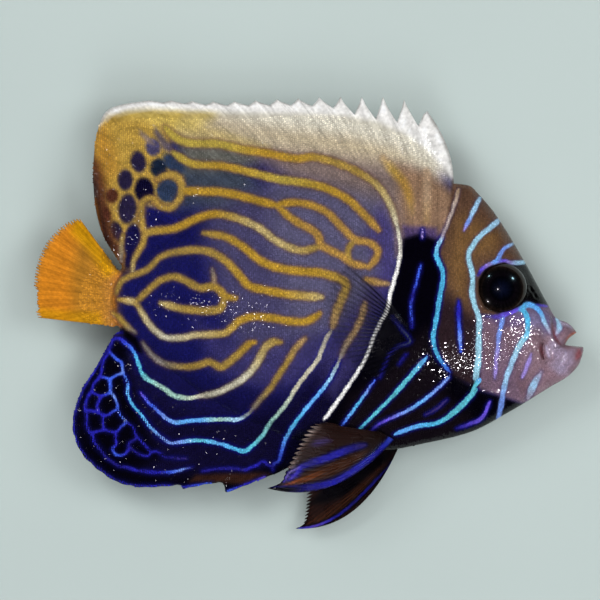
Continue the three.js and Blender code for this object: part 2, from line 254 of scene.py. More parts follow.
def line_distance(spots: Array, line: Array) -> tuple[Array, Array]:
    """Measures spots against a line of straight lengths.

    Args:
        spots: x and y of each spot.
        line: x and y of the line's points.

    Returns:
        Each spot's distance to the line, and the share of the line's length where it is nearest.
    """
    runs = np.diff(line, axis=0)
    lengths = np.maximum(np.hypot(*runs.T), 1e-9)
    before = np.concatenate([[0], np.cumsum(lengths)[:-1]])
    best = np.full(len(spots), np.inf)
    share = np.zeros(len(spots))
    for start, run, length, passed in zip(line, runs, lengths, before):
        offset = spots - start
        t = np.clip(offset @ run / length**2, 0, 1)
        distance = np.hypot(*(offset - t[:, None] * run).T)
        near = distance < best
        best[near] = distance[near]
        share[near] = passed + t[near] * length
    return best, share / lengths.sum()


def inside(spots: Array, outline: Array) -> Array:
    """Tells which spots lie inside a closed outline.

    Args:
        spots: x and y of each spot.
        outline: x and y of the outline's corners, in their order.

    Returns:
        True for each spot that lies inside.
    """
    found = np.zeros(len(spots), bool)
    for (ax, ay), (bx, by) in zip(outline, np.roll(outline, -1, axis=0)):
        if ay == by:
            continue
        crosses = (spots[:, 1] < ay) != (spots[:, 1] < by)
        found ^= crosses & (spots[:, 0] < ax + (spots[:, 1] - ay) * (bx - ax) / (by - ay))
    return found


@dataclass(frozen=True)
class BodyForm:
    """The body without fins: its side outline, and half of its thickness at each place."""

    tail_end: float = -45.5
    snout_tip: float = 63.4
    fullness: float = 2.3
    tail_round: float = 1.4
    snout_round: float = 1.1
    back: Profile = Profile("""
        -45.5,3.4 -43.8,9.7 -31.9,17.9 -22.7,23.5 -13.5,27.1 -2,30.1 9.5,31.7 19.9,32 29,30.6 36.9,29.7
        39.4,27.4 42.7,23.5 49.3,12.9 55.1,2.3 56.9,-0.7 59.7,-2 61.2,-3.4 62.4,-5.6 63.4,-8.1""")
    belly: Profile = Profile("""
        -45.5,3.4 -43.8,-2.8 -31.9,-13.3 -22.7,-20.2 -13.5,-25.3 -2,-29.8 9.5,-31.6 18,-31.4 26.6,-29.9
        36.9,-27.4 46.8,-22.3 55.8,-16.8 59.9,-14.3 62.2,-11.7 63.4,-8.1""")
    flank: Profile = Profile("""
        -45.5,0.9 -43.8,2 -38.8,2.9 -31.9,4.3 -22.7,6 -13.5,7.5 -2,8.7 9.5,9 21,9 29,8.8 34.4,8.4
        39.5,7.8 44,7.1 48.7,6.2 52.1,5.3 55.1,4.4 57.8,3.6 61,2.9 63.4,1.6""")
    keel: Profile = Profile("-45.5,0.55 -30,0.7 10,0.78 35,0.74 50,0.6 63.4,0.5")

    def outline(self, x: Array, inset: float = 0.0) -> tuple[Array, Array]:
        """Returns the height of the body's middle line and half of its depth at each x."""
        back, belly = self.back(x), self.belly(x)
        return (back + belly) / 2, np.maximum((back - belly) / 2 - inset, 0.02)

    def half_thickness(self, x: Array, y: Array, inset: float = 0.0) -> Array:
        """Works out half of the body's thickness.

        Args:
            x: Places along the fish.
            y: Places up the fish.
            inset: How far the body is drawn in.

        Returns:
            Half of the thickness at each place, 0 outside the outline.
        """
        centre, half = self.outline(x, inset)
        t = np.minimum(np.abs((y - centre) / half), 1)
        rear = np.clip((self.tail_end + self.tail_round - x) / self.tail_round, 0, 1)
        front = np.clip((x - self.snout_tip + self.snout_round) / self.snout_round, 0, 1)
        ends = np.sqrt((1 - rear**2) * (1 - front**2))
        return (self.flank(x) - inset) * ends * (1 - t**self.fullness) ** self.keel(x)


BODY = BodyForm()


@dataclass(frozen=True)
class HeadRelief:
    """What stands out of the head or sinks into it: gill plates, eye socket, nostrils, folds and lips."""

    gill_edge: Profile = Profile("""
        -33,29.4 -24.5,31 -18,33 -14,32.8 -11.5,30.7 -8.3,29.1 -2,28.8 7.8,30.4 14.7,29.7 20.5,31.6
        25.5,34.2 29.5,36 33,37.4""")
    gill_step: float = 0.26
    gill_groove: float = 0.22
    cheek_edge: Profile = Profile("-17,38.4 -5.8,38.8 -1.6,38.5 3.5,37.4 6.7,37.7 12.4,36.6 17.5,36.9")
    cheek_step: float = 0.16
    eye: tuple[float, float] = (44.0, 5.8)
    socket: float = 5.2
    socket_depth: float = 1.7
    rim: float = 0.26
    nostrils: Points = ((51.0, 5.6), (51.9, 4.2))
    nostril_rim: float = 0.14
    nostril_depth: float = 0.55
    folds: tuple[tuple[Points, float, float], ...] = (
        (path("56,-0.6 56,-3.8 56.5,-5.4 57.6,-6.9"), 0.46, 0.36),
        (path("53.5,-6.8 53.3,-8.4 53.7,-10.2"), 0.6, 0.28),
        (path("58.8,-7.6 57.2,-8.6 56.3,-10.4 54.4,-10.9 53.9,-13.4"), 0.3, 0.34),
        (path("60.8,-8 60.4,-10 59.2,-12"), 0.2, 0.36),
        (path("47.2,-16.8 43.4,-17 39.4,-16.4"), 0.22, 0.45),
    )
    lips: Points = path("66,-3.4 61.6,-4.3 59.8,-5.6 58.9,-7.1 62.5,-7.5 66,-7.6")
    lip_swell: float = 0.42
    unevenness: float = 0.06

    def steps(self, x: Array, y: Array) -> Array:
        """Works out the rise at the rear edges of the gill cover and of the cheek plate.

        Args:
            x: Places along the fish.
            y: Places up the fish.

        Returns:
            The height at each place, negative in the groove behind the gill cover.
        """
        beyond = x - self.gill_edge(y)
        window = ease(y, -25, -20) * (1 - ease(y, 17, 22))
        edge = 1 / (1 + np.exp(-np.clip(beyond / 0.14, -30, 30)))
        plate = self.gill_step * edge * np.exp(-np.maximum(beyond, 0) / 4.5)
        groove = self.gill_groove * (1 - edge) * np.exp(-np.maximum(-beyond, 0) / 0.7)
        ahead = x - self.cheek_edge(y)
        brow = 1 / (1 + np.exp(-np.clip(ahead / 0.16, -30, 30)))
        cheek = self.cheek_step * (brow * np.exp(-np.maximum(ahead, 0) / 2.5))
        return (plate - groove) * window + cheek * ease(y, -18, -13) * (1 - ease(y, 10, 16))

    def height(self, x: Array, y: Array) -> Array:
        """Works out how far the skin stands out.

        Args:
            x: Places along the fish.
            y: Places up the fish.

        Returns:
            The height at each place, negative where the skin sinks in.
        """
        spots = np.stack([x, y], 1)
        total = self.steps(x, y)
        away = np.hypot(x - self.eye[0], y - self.eye[1])
        total -= self.socket_depth * (1 - ease(away, self.socket - 0.35, self.socket + 0.3))
        total += self.rim * bell(away - self.socket - 0.75, 0.55)
        for nostril in self.nostrils:
            away = np.hypot(x - nostril[0], y - nostril[1])
            total += self.nostril_rim * bell(away - 0.6, 0.25) - self.nostril_depth * bell(away, 0.36)
        front = x > 38
        for points, depth, width in self.folds:
            away = line_distance(spots[front], Spline(points).line())[0]
            total[front] += 0.3 * depth * bell(away - 2.2 * width, width) - depth * bell(away, width)
        away = line_distance(spots[front], np.array(self.lips))[0]
        total[front] += self.lip_swell * bell(away - 0.5, 1.3) * ease(x[front], 56.5, 59)
        swell = self.unevenness * np.sin(x * 0.55 + y * 0.21) * np.sin(y * 0.43 - x * 0.13)
        return total + swell


RELIEF = HeadRelief()


@dataclass(frozen=True)
class Stroke:
    """One painted line of the coat: its tones and widths are spread evenly from its first point on."""

    name: str
    tones: str  # words for Tone, each with a number behind it where it counts more than once
    widths: tuple[float, ...]
    points: str

    def shades(self) -> Array:
        """Returns the line's tones in their order, one row each."""
        words = (word.partition("*") for word in self.tones.split())
        return np.array([Tone[name].shade for name, _, times in words for _ in range(int(times or 1))])

    def measure(self, spots: Array, taper: float) -> tuple[Array, Array, Array]:
        """Finds the spots near the line.

        Args:
            spots: x and y of each spot.
            taper: Length over which the line thins out at both ends.

        Returns:
            The near spots' numbers, how deep each lies inside the painted width, and its colour there.
        """
        line = Spline(path(self.points)).line()
        length = np.hypot(*np.diff(line, axis=0).T).sum()
        low, high = line.min(0) - REACH, line.max(0) + REACH
        near = np.flatnonzero(((spots > low) & (spots < high)).all(1))
        away, share = line_distance(spots[near], line)
        width = np.interp(share, np.linspace(0, 1, len(self.widths)), self.widths)
        ends = np.minimum(share, 1 - share) * length
        width = width * (0.45 + 0.55 * ease(ends, -0.4 * taper, taper))
        tones = self.shades()
        steps = np.linspace(0, 1, len(tones))
        shade = np.stack([np.interp(share, steps, tones[:, k]) for k in range(3)], 1)
        return near, width / 2 - away, shade


@dataclass(frozen=True)
class StrokeSet:
    """Lines of one kind: how soft their edges are, how they end, and the tint beside them."""

    strokes: tuple[Stroke, ...]
    softness: float
    taper: float
    rim: Tone
    rim_reach: float
    rim_strength: float


@dataclass(frozen=True)
class Wash:
    """A soft-edged patch of one colour inside a closed outline."""

    name: str
    tone: Tone
    softness: float
    strength: float
    outline: str

    def cover(self, spots: Array) -> Array:
        """Works out how much of the colour the patch takes.

        Args:
            spots: x and y of each spot.

        Returns:
            The share at each spot, from 0 to the patch's strength.
        """
        ring = np.array(path(self.outline))
        low, high = ring.min(0) - self.softness, ring.max(0) + self.softness
        near = np.flatnonzero(((spots > low) & (spots < high)).all(1))
        depth = line_distance(spots[near], np.vstack([ring, ring[:1]]))[0]
        depth = np.where(inside(spots[near], ring), depth, -depth)
        covered = np.zeros(len(spots))
        covered[near] = self.strength * ease(depth, -self.softness, self.softness)
        return covered


@dataclass(frozen=True)
class Blot:
    """A soft oval patch: its middle, its half widths, and the turn of its long side from upright."""

    tone: Tone
    x: float
    y: float
    across: float
    tall: float
    turn: float = 0.0
    softness: float = 0.45
    strength: float = 1.0

    def cover(self, spots: Array) -> Array:
        """Works out how much of the colour the patch takes.

        Args:
            spots: x and y of each spot.

        Returns:
            The share at each spot, from 0 to the patch's strength.
        """
        cos, sin = math.cos(math.radians(self.turn)), math.sin(math.radians(self.turn))
        x, y = spots[:, 0] - self.x, spots[:, 1] - self.y
        away = np.hypot((x * cos + y * sin) / self.across, (y * cos - x * sin) / self.tall)
        depth = (1 - away) * min(self.across, self.tall)
        return self.strength * ease(depth, -self.softness, self.softness)


@dataclass
class Paint:
    """Colours of many places: the ground, the marking, and how deep each place lies in the marking."""

    under: Array
    mark: Array
    level: Array


def ray_grain(places: Array) -> Array:
    """Works out the streaks that fins and shoulder carry along their rays.

    Args:
        places: x and y of each place.

    Returns:
        The streak at each place, about -1 to 1.
    """
    x, y = places.T
    back, belly = BODY.back(x), BODY.belly(x)
    over, under = y - back, belly - y
    dorsal = x + np.interp(x, (-50, -30, 27), (1.0, 0.75, 0.4)) * over
    anal = x + np.interp(x, (-54, -20, 0), (0.9, 0.7, 0.5)) * under
    tail = np.arctan2(y - 3.5, -38 - x) * 19
    streaks = np.zeros(len(x))
    on_tail = ease(-x, 43, 47) * (y > -5) * (y < np.where(x < -48.5, 24, 13))
    for across, share in ((dorsal, ease(over, 0, 6) * (1 - on_tail)), (tail, on_tail),
                          (anal, ease(under, 0, 6) * (x < 0) * (1 - on_tail)),
                          (x, ease(x, 20, 24) * (1 - ease(x, 36, 39)) * ease(y, 14, 19))):
        fine = np.sin(across * 5.46) * 0.45 + np.sin(across * 13.1 + 1.1 * np.sin(y * 0.4)) * 0.3
        wide = np.sin(across * 1.9 + 0.7 * np.sin(y * 0.21)) * 0.5
        streaks += share * (fine + wide)
    return streaks


@dataclass(frozen=True)
class Pattern:
    """A whole painted pattern: its ground, its patches in the order of painting, and its lines."""

    ground: Tone
    patches: tuple[Wash | Blot, ...]
    sets: tuple[StrokeSet, ...]
    streaks: float = 0.09
    grain: float = 0.05
    melt: float = 0.16  # how far two lines run together where they meet
    sway: float = 0.055  # how far the lines' edges run unevenly

    def paint(self, places: Array) -> Paint:
        """Works out the pattern's colours.

        Args:
            places: x and y of each place.

        Returns:
            The colours there, and how deep each place lies in the markings.
        """
        under = np.tile(self.ground.shade, (len(places), 1))
        for patch in self.patches:
            under += (patch.tone.shade - under) * patch.cover(places)[:, None]
        under *= 1 + (self.streaks * ray_grain(places) + self.unevenness(places))[:, None]
        loose = places + self.wobble(places)
        weights, sharpness = np.full((2, len(places)), 1e-9)
        shades = under * 1e-9
        for lines in self.sets:
            best = np.full(len(places), FAR_LEVEL)
            for stroke in lines.strokes:
                near, depth, shade = stroke.measure(loose, lines.taper)
                weight = np.exp(depth / self.melt)
                weights[near] += weight
                sharpness[near] += weight / lines.softness
                shades[near] += shade * weight[:, None]
                best[near] = np.maximum(best[near], depth)
            rim = lines.rim_strength * bell(np.maximum(-best, 0), lines.rim_reach)
            under += (lines.rim.shade - under) * rim[:, None]
        level = self.melt * np.log(weights) * sharpness / weights
        mark = shades / weights[:, None] * (1 + 1.4 * self.unevenness(places))[:, None]
        return Paint(np.clip(under, 0, 1), np.clip(mark, 0, 1), np.maximum(level, FAR_LEVEL))

    def unevenness(self, places: Array) -> Array:
        """Works out the broad and fine unevenness of a wet scaled skin.

        Args:
            places: x and y of each place.

        Returns:
            How much brighter or darker each place is, around 0.
        """
        x, y = places.T
        fine = np.sin(x * 5.1 + np.sin(y * 0.9) * 1.3) * np.sin(y * 4.3 - x * 0.35 + 1.7)
        broad = np.sin(x * 0.9 + y * 0.5) * np.sin(y * 0.8 - x * 0.3)
        return self.grain * (fine + 0.8 * broad)

    def wobble(self, places: Array) -> Array:
        """Works out small shifts that make the lines' edges run unevenly.

        Args:
            places: x and y of each place.

        Returns:
            The shift of each place.
        """
        x, y = places.T
        along = np.sin(x * 2.1 + y * 1.3) + 0.6 * np.sin(x * 4.7 - y * 3.9 + 1)
        up = np.sin(y * 2.3 - x * 1.1 + 2) + 0.6 * np.sin(y * 5.1 + x * 3.7)
        return self.sway * np.stack([along, up], 1)


GOLD_LINES = StrokeSet(
    softness=0.5, taper=2.2, rim=Tone.OCHRE_RIM, rim_reach=0.55, rim_strength=0.6, strokes=(
    Stroke("top stripe", "OLIVE_GOLD*3 GOLD*2 DULL_GOLD*2 PALE_GOLD CREAM", (1.6, 1.7, 1.7, 1.5, 1.0), """
        -33,42.9 -31,40.9 -28.8,39.7 -26.1,39.2 -20.8,39.1 -15.1,37.8 -9.8,37 -3.1,35.7 1.3,36 7,34.5
        12.3,32.1 16.2,29.1 18.9,24.6 20.3,19.8"""),
    Stroke("second stripe", "OLIVE_GOLD GOLD OLIVE_GOLD GOLD AMBER", (1.5, 1.6, 1.7, 1.6), """
        -31,37.1 -29,35.7 -26.1,34.4 -19.9,34 -13.5,32.6 -7,31 -0.6,30.1 4.3,28.8 9.1,26.2 12.3,23.2
        16,19.2"""),
    Stroke("third stripe", "GOLD", (1.7,), "-29.3,28.2 -21.5,28.1 -16.7,27.4 -11.8,26.1 -7,24.8"),
    Stroke("third stripe, upper branch", "GOLD AMBER*2", (1.5, 1.5, 1.4), """
        -7,24.8 -5.6,25.4 -2.2,25.5 1,24.8 4.3,23.2 7.5,20 10.7,17 13.9,16.3 15.8,14.5 15.1,12.2
        13.7,10.6"""),
    Stroke("third stripe, lower branch", "GOLD AMBER*3", (1.5, 1.6, 1.4), """
        -7,24.8 -4.9,22.7 -2.2,20.8 1,19.1 2.4,17.5 2.8,15.8 4.9,14.6 7.9,13.1 10.2,11.5 13.7,10.8"""),
    Stroke("fourth stripe", "DULL_GOLD GOLD*2 PALE_GOLD*2 DULL_GOLD", (1.4, 1.7, 1.5, 1.4, 1.5), """
        -37.8,17.6 -36.4,18.9 -32.1,19.4 -29.6,20.1 -25.6,22 -21.5,23 -16.7,22.1 -11.4,19.8 -7.7,17
        -4.5,15.3 -1.3,14.5 2.4,15.4"""),
    Stroke("fifth stripe", "DULL_GOLD GOLD*3 DULL_GOLD FAINT_GOLD", (1.4, 1.7, 1.8, 1.6), """
        -24,18.6 -19,17.7 -15.1,15.5 -10.9,12.2 -7,10.6 -2.2,9.8 2.6,9.4 7,8.1 8.6,6.4 7.6,3.4 6.4,0.6
        5.6,-2.8"""),
    Stroke("sixth stripe, from the tail stalk",
           "DULL_GOLD*4 GOLD*2 PALE_GOLD", (1.1, 1.1, 1.5, 1.6, 1.7, 1.7), """
        -44,4.8 -43.5,6.6 -42.6,7.8 -41,8.7 -39.2,9.3 -37.6,9.9 -36.1,10.9 -34.2,12.9 -31.2,14.1
        -26.3,14.7 -22.4,14.2 -19,12.2 -16,9.2 -13.5,6.5 -9.5,5.4 -3.8,4.4 3,3.9"""),
    Stroke("inner loop, upper half", "DULL_GOLD*3 GOLD", (1.1, 1.4, 1.5, 1.6), """
        -39.8,2.8 -38.6,3.6 -37.2,5 -35.3,6.7 -33.7,7.8 -30.9,8.6 -28.6,7.9 -25.8,6.4 -24.3,6 -21.7,6.3
        -20.1,5.3 -19,4.1 -16.6,3.6"""),
    Stroke("inner loop, centre bar", "DULL_GOLD*3 PALE_GOLD", (1.5, 1.6, 1.4), """
        -19,3.9 -19.8,1.6 -21,0.9 -24.5,0.8 -29.3,1.3 -31.6,1.9 -33.7,2.5"""),
    Stroke("inner loop, lower half", "PALE_GOLD CREAM PALE_GOLD GOLD*3", (1.1, 1.1, 1.4, 1.6, 1.6), """
        -38.9,1.6 -37.7,-0.5 -36.4,-2.4 -34.6,-4.2 -32.5,-5.4 -28.6,-5.4 -25.8,-4.8 -21.3,-4.6 -19,-4.3
        -17.4,-3.1 -15.6,-1.5 -12.5,-0.6 -8.2,-0.9 -4.3,-1.6 -1,-1.7 1.3,-0.8 2.6,0.2"""),
    Stroke("spur over the loop", "FAINT_GOLD GREY_GOLD", (0.9, 0.6), "-21.4,6.6 -21.6,8.5 -22,10.3"),
    Stroke("stalk link", "FIN_GOLD PALE_GOLD DULL_GOLD", (1.3, 1.2), """
        -43.4,3.3 -41.5,3.1 -39.9,2.7 -38.9,1.6"""),
    Stroke("stalk, lower link", "FIN_GOLD DULL_GOLD GREY_GOLD", (1.1, 1.1, 0.8), """
        -44.8,0.2 -43.5,-0.8 -42.3,-2.2 -40.8,-3.5 -39.8,-4.3"""),
    Stroke("seventh stripe", "GREY_GOLD*2 DULL_GOLD*3 GOLD", (0.8, 1.2, 1.4, 1.6), """
        -38,-6.7 -36.6,-8.7 -34.7,-10.5 -32.5,-11.6 -30.5,-12 -27.6,-12.1 -25,-11.7 -22.6,-11 -20.1,-12.1
        -18.5,-11.3 -15.5,-8.7 -13.6,-6.9 -12.3,-6.4"""),
    Stroke("eighth stripe, gold end", "CREAM*3 PALE_GOLD DULL_GOLD", (0.9, 1.1, 1.4, 1.6), """
        -25,-18.9 -21.4,-18.2 -19,-17.2 -15.5,-15.2 -12.8,-12.7 -11.2,-10.3 -10,-7.9 -8.2,-6.4 -6.4,-6.4"""),
    Stroke("ninth stripe, gold end", "GREY_GOLD DULL_GOLD*2 FAINT_GOLD", (0.7, 1.1, 1.2), """
        -13.1,-22.2 -11.2,-19.8 -8.5,-16.7 -7,-14.3 -4.7,-10.8 -2.9,-7.8 -0.8,-5.6"""),
    Stroke("ring link", "DULL_GOLD", (1.1, 1.3), "10.6,16.9 9.3,15.2 9,13.4 9.8,11.8"),
    Stroke("tenth stripe, upper part", "FAINT_GOLD AMBER", (1.2, 1.5), "18,6.9 15.3,7.3 13,8"),
    Stroke("tenth stripe, gold end", "FAINT_GOLD*2 GREY_GOLD", (1.2, 1.1, 0.8), """
        12.9,2.6 12.1,-0.7 10.4,-4.3 8.8,-6.6 7.2,-10.1"""),
    Stroke("ring in the dorsal net", "FIN_GOLD DULL_GOLD FIN_GOLD", (1.0, 1.4, 1.2), """
        -35.5,26.4 -34,24.7 -31.8,24.3 -30.1,25.7 -29.1,27.9 -29.3,30.4 -30.8,32 -33,31.8 -34.8,30.9"""),
    Stroke("foot of the dorsal net", "PALE_GOLD DULL_GOLD FIN_GOLD", (0.8, 1.1, 1.2), """
        -40.3,9.9 -40.2,12 -39.3,14 -38,16.2 -37.5,18.6"""),
    Stroke("wall of the dorsal net", "FIN_GOLD DULL_GOLD FIN_GOLD", (1.1, 1.1), """
        -37.4,18.4 -38.1,20.4 -38.4,23 -38.2,25.5 -36.8,26.6 -35.3,26.6"""),
    Stroke("second foot of the dorsal net", "GREY_GOLD DULL_GOLD", (0.7, 1.0), """
        -43,12.2 -43,15.4 -42.6,18.2"""),
))

SHOULDER_LINES = StrokeSet(
    softness=1.0, taper=3.0, rim=Tone.SHOULDER_BROWN, rim_reach=0.6, rim_strength=0.3, strokes=(
    Stroke("stripe on the shoulder", "TAN DULL_GOLD AMBER*2 FAINT_GOLD", (1.9, 2.0, 1.5), """
        17.2,35.6 20,32.4 22.1,29.8 23.2,26.4 23.7,23.2"""),
    Stroke("faint line up the nape", "SAND*2 FAINT_GOLD", (1.7, 1.5, 1.1), "27.2,32.6 27.2,27 27,21.2"),
))

WHITE_LINES = StrokeSet(
    softness=0.26, taper=1.2, rim=Tone.BLUE_RIM, rim_reach=0.35, rim_strength=0.25, strokes=(
    Stroke("white shoulder stripe", "CREAM WHITE*5", (0.7, 0.75, 0.8, 0.6, 0.7, 0.8), """
        20.3,19.8 20.9,16.1 20.7,12.4 19.5,7.6 18.5,4.1 18,1.2 16.7,-1.3 15,-4.8 13.4,-9.2 11.5,-12.7
        9.4,-15.9 6.6,-20 3.6,-24.2"""),
    Stroke("opercle line, pale part", "SAND GREY_PINK*2 LILAC", (0.9, 0.6, 0.6), """
        34.5,28.5 33.2,24.4 31.6,20.2 30.2,17"""),
    Stroke("belly stripe, pale part", "GREY_GOLD CREAM*2 PALE_GREEN TURQUOISE", (0.9, 0.9, 0.8, 0.8), """
        5.2,-3.6 3.7,-6.4 2.1,-10.4 -0.6,-13.8 -2.9,-17 -4.8,-20.2 -7,-22.9 -9,-25.3 -10.5,-27.9
        -12.5,-29.9"""),
    Stroke("eighth stripe, pale part", "TURQUOISE PALE_GREEN*2 CREAM", (0.9, 1.0, 0.9), """
        -38.4,-13.2 -37.5,-14.5 -36.4,-15.3 -34.7,-16.2 -32.9,-17.3 -31.1,-18.6 -29.4,-19.1 -27.2,-19.3
        -25,-18.9"""),
))

BLUE_LINES = StrokeSet(
    softness=0.15, taper=1.6, rim=Tone.BLUE_RIM, rim_reach=0.5, rim_strength=0.8, strokes=(
    Stroke("belly stripe, blue part",
           "TURQUOISE CYAN LIGHT_BLUE TURQUOISE SKY*2 LIGHT_BLUE CYAN LIGHT_BLUE BLUE",
           (0.9, 0.8, 0.6, 0.6), """
        -12.5,-29.9 -14.2,-31.3 -15.6,-31.4 -17.8,-30.6 -20.6,-29.7 -23.3,-29.2 -26.3,-29 -29.2,-29.4
        -31.4,-29.6 -33.5,-28.6 -35.3,-27 -37.1,-25 -38.6,-22.8 -40.4,-20.8 -41.5,-18.2 -41.5,-16.2
        -42.1,-14.4 -42.6,-13.5"""),
    Stroke("eighth stripe, blue start", "DIM_BLUE ELECTRIC BLUE CYAN TURQUOISE", (0.5, 0.7, 0.7, 0.8), """
        -45.4,-7.4 -45.2,-6.3 -44.6,-5.7 -43.5,-5.6 -42.1,-6.6 -40.8,-7.8 -39.9,-9.1 -39.2,-11
        -38.4,-13.2"""),
    Stroke("ninth stripe, blue part",
           "VIOLET BLUE SKY LIGHT_BLUE*2 PALE_GREEN PALE_BLUE GREY_GOLD", (0.5, 0.8, 0.9, 0.9, 0.7), """
        -38.6,-17.9 -36.8,-20.2 -35.3,-21.5 -33.8,-23 -32,-24.4 -30.3,-24.9 -27.2,-24.5 -24.1,-24.3
        -21.1,-24.2 -18.4,-24.2 -16.7,-24.3 -14.9,-23.7 -13.1,-22.2"""),
    Stroke("tenth stripe, blue part",
           "GREY_GOLD PALE_BLUE LIGHT_BLUE*2 CYAN LIGHT_BLUE BLUE DIM_BLUE", (0.7, 0.8, 0.8, 0.8, 0.6), """
        7.2,-10.1 4.8,-15 1,-19.8 -1,-22.2 -3.3,-25.3 -4.8,-27.9 -5.7,-29.9 -6.3,-32.1 -6.8,-33.6
        -7.9,-34.5 -8.2,-35.8"""),
    Stroke("opercle line", "PALE_BLUE CYAN*6 BLUE", (0.9, 1.0, 1.0, 0.9, 0.8), """
        30.4,17.4 30,16.6 29.1,13.6 30.6,9.2 29.8,3.5 29,-1.6 28.4,-5.3 29.4,-9.4 32.2,-13.2"""),
    Stroke("short cheek line", "ELECTRIC*2 BLUE SKY BLUE", (0.8, 0.8, 0.7), """
        34.2,2.9 34.2,-0.6 34.4,-3.9 34.7,-8.5"""),
    Stroke("line in the black patch", "BLUE*2 DIM_BLUE BLUE DIM_BLUE", (0.5,), """
        25.6,11.3 24.7,7.6 23.4,2.5 23.6,-3"""),
    Stroke("tick in the black patch", "SOFT_VIOLET", (0.6,), "26,19.3 26,17.3"),
    Stroke("first belly line", "TURQUOISE*3 CYAN LIGHT_BLUE*2", (1.3, 1.2, 0.9, 0.9), """
        38.3,-17.2 34.6,-21.3 30.1,-24.7 24.9,-25.7 19.7,-27.6"""),
    Stroke("second belly line", "SKY*2 LIGHT_BLUE SKY VIOLET DIM_BLUE", (0.7, 0.7, 0.5), """
        32.1,-14.3 28.5,-17.9 23.4,-21.6 16.4,-25 14.4,-26.9"""),
    Stroke("third belly line", "LIGHT_BLUE TURQUOISE*3 CYAN", (0.9, 1.0, 0.7, 0.6), """
        27,-9.7 22.7,-14.7 18.3,-19.7 15.3,-22.7 11.2,-26.9"""),
    Stroke("fourth belly line", "BLUE SKY CYAN LIGHT_BLUE BLUE", (0.5, 0.6, 0.6), """
        15.2,-14.9 12.4,-19 8.7,-24.1 7.7,-25.6"""),
    Stroke("faint throat line", "VIOLET*2 DIM_BLUE", (0.7, 0.8, 0.6), """
        41.5,-20 39.9,-23.7 37.1,-25.2 34,-26.3"""),
    Stroke("thin belly line", "DIM_VIOLET", (0.4,), "31.6,-19.6 29.3,-21.6 26.8,-23"),
    Stroke("short shoulder line", "DIM_BLUE", (0.45,), "22.2,-9.2 20.6,-11.3"),
    Stroke("base of the breast fin", "DIM_BLUE SLATE DIM_BLUE*2", (0.35, 0.45), """
        19.1,-0.7 20.9,-3 23.2,-6.2 20.6,-7.3 18.6,-9 17.4,-11.6 16.2,-14.5"""),
    Stroke("brow of the tail stalk", "DIM_BLUE ELECTRIC DIM_BLUE", (0.35,), "-45.9,-5 -44.7,-4.4 -43,-4.3"),
))

FACE_LINES = StrokeSet(
    softness=0.24, taper=1.6, rim=Tone.VIOLET_BLUE, rim_reach=0.45, rim_strength=0.35, strokes=(
    Stroke("nape line", "PALE_BLUE*3 SKY SOFT_VIOLET", (1.1, 0.9, 0.7), "39.4,26.7 37.6,23.2 35.5,19.1"),
    Stroke("cheek plate line", "PALE_BLUE PALE_TURQUOISE*4", (1.1, 1.1, 1.05, 1.1, 1.25, 1.4), """
        44.2,21.9 41.3,19.5 38.8,17.4 36.8,14.4 36.5,12.6 37.2,9.8 37.4,7.6 37.2,5.2 37.7,2.5 38.6,-0.1
        38.9,-1.7 38.8,-5 38.8,-7.2 38.7,-10.5 38.3,-13.8 38.3,-15.6"""),
    Stroke("line over the eye", "PALE_BLUE SKY*2 LIGHT_BLUE", (0.8, 0.8, 0.9), """
        47.1,16.2 44.6,14.8 43.3,12.6 42.1,11.7"""),
    Stroke("line before the eye", "PALE_TURQUOISE PALE_BLUE SOFT_VIOLET", (1.1, 1.0, 0.5), """
        50.4,12 48.6,11.8 46.6,11.7 45.3,11.9"""),
    Stroke("arc behind the eye", "DIM_BLUE VIOLET SOFT_VIOLET SKY VIOLET SOFT_VIOLET", (0.8, 0.7, 0.6), """
        38.6,8.8 39.9,10.6 42.1,11.7 44.5,12.2 46.3,11.8"""),
    Stroke("edge under the eye", "DIM_VIOLET VIOLET*2", (0.6, 1.1, 0.9), """
        40.6,-0.6 43.2,-0.6 45.6,0.3 48.3,1.3"""),
    Stroke("arch under the mask", "CYAN LIGHT_BLUE*2 PALE_BLUE LILAC", (1.0, 1.3, 1.0, 0.9, 0.7), """
        48.2,1 50,2.1 51.8,1.6 53.1,0.3 54,-1.9 54.9,-3.6 55.3,-4.4"""),
    Stroke("edge before the mask", "DIM_BLUE VIOLET", (0.5,), "51.9,2.1 53.4,1.9 54.8,1.8"),
    Stroke("first muzzle line", "SKY*2 SOFT_VIOLET*2", (1.0, 0.9, 0.8, 0.7), """
        44.3,-0.2 44.1,-2.1 43.5,-4.3 43.2,-7.4 42.8,-10.7 42.6,-14.6"""),
    Stroke("second muzzle line", "CYAN*2 PALE_TURQUOISE PALE_BLUE*2 SKY*2", (1.0, 1.2, 1.1, 1.1), """
        48.3,1.3 49.6,0 50.1,-1.9 49.8,-4.8 48.5,-6.6 47.2,-9.2 46.3,-11.6 45.4,-14 44.6,-17.7 44.1,-21.5
        43.5,-24.2"""),
    Stroke("lip line", "PALE_BLUE*2 LILAC", (0.9, 1.2, 0.8), "56.9,-1.1 57.5,-2.5 57.4,-3.6 56.6,-4.9"),
    Stroke("chin line", "LILAC PALE_BLUE LILAC", (0.9, 1.6, 1.4), "53.3,-13.2 51.6,-16.2 50.4,-19.4"),
    Stroke("faint muzzle line", "SOFT_VIOLET", (0.7, 0.9, 0.8), "50.9,-9.2 50,-11.8 48.9,-14.5"),
))

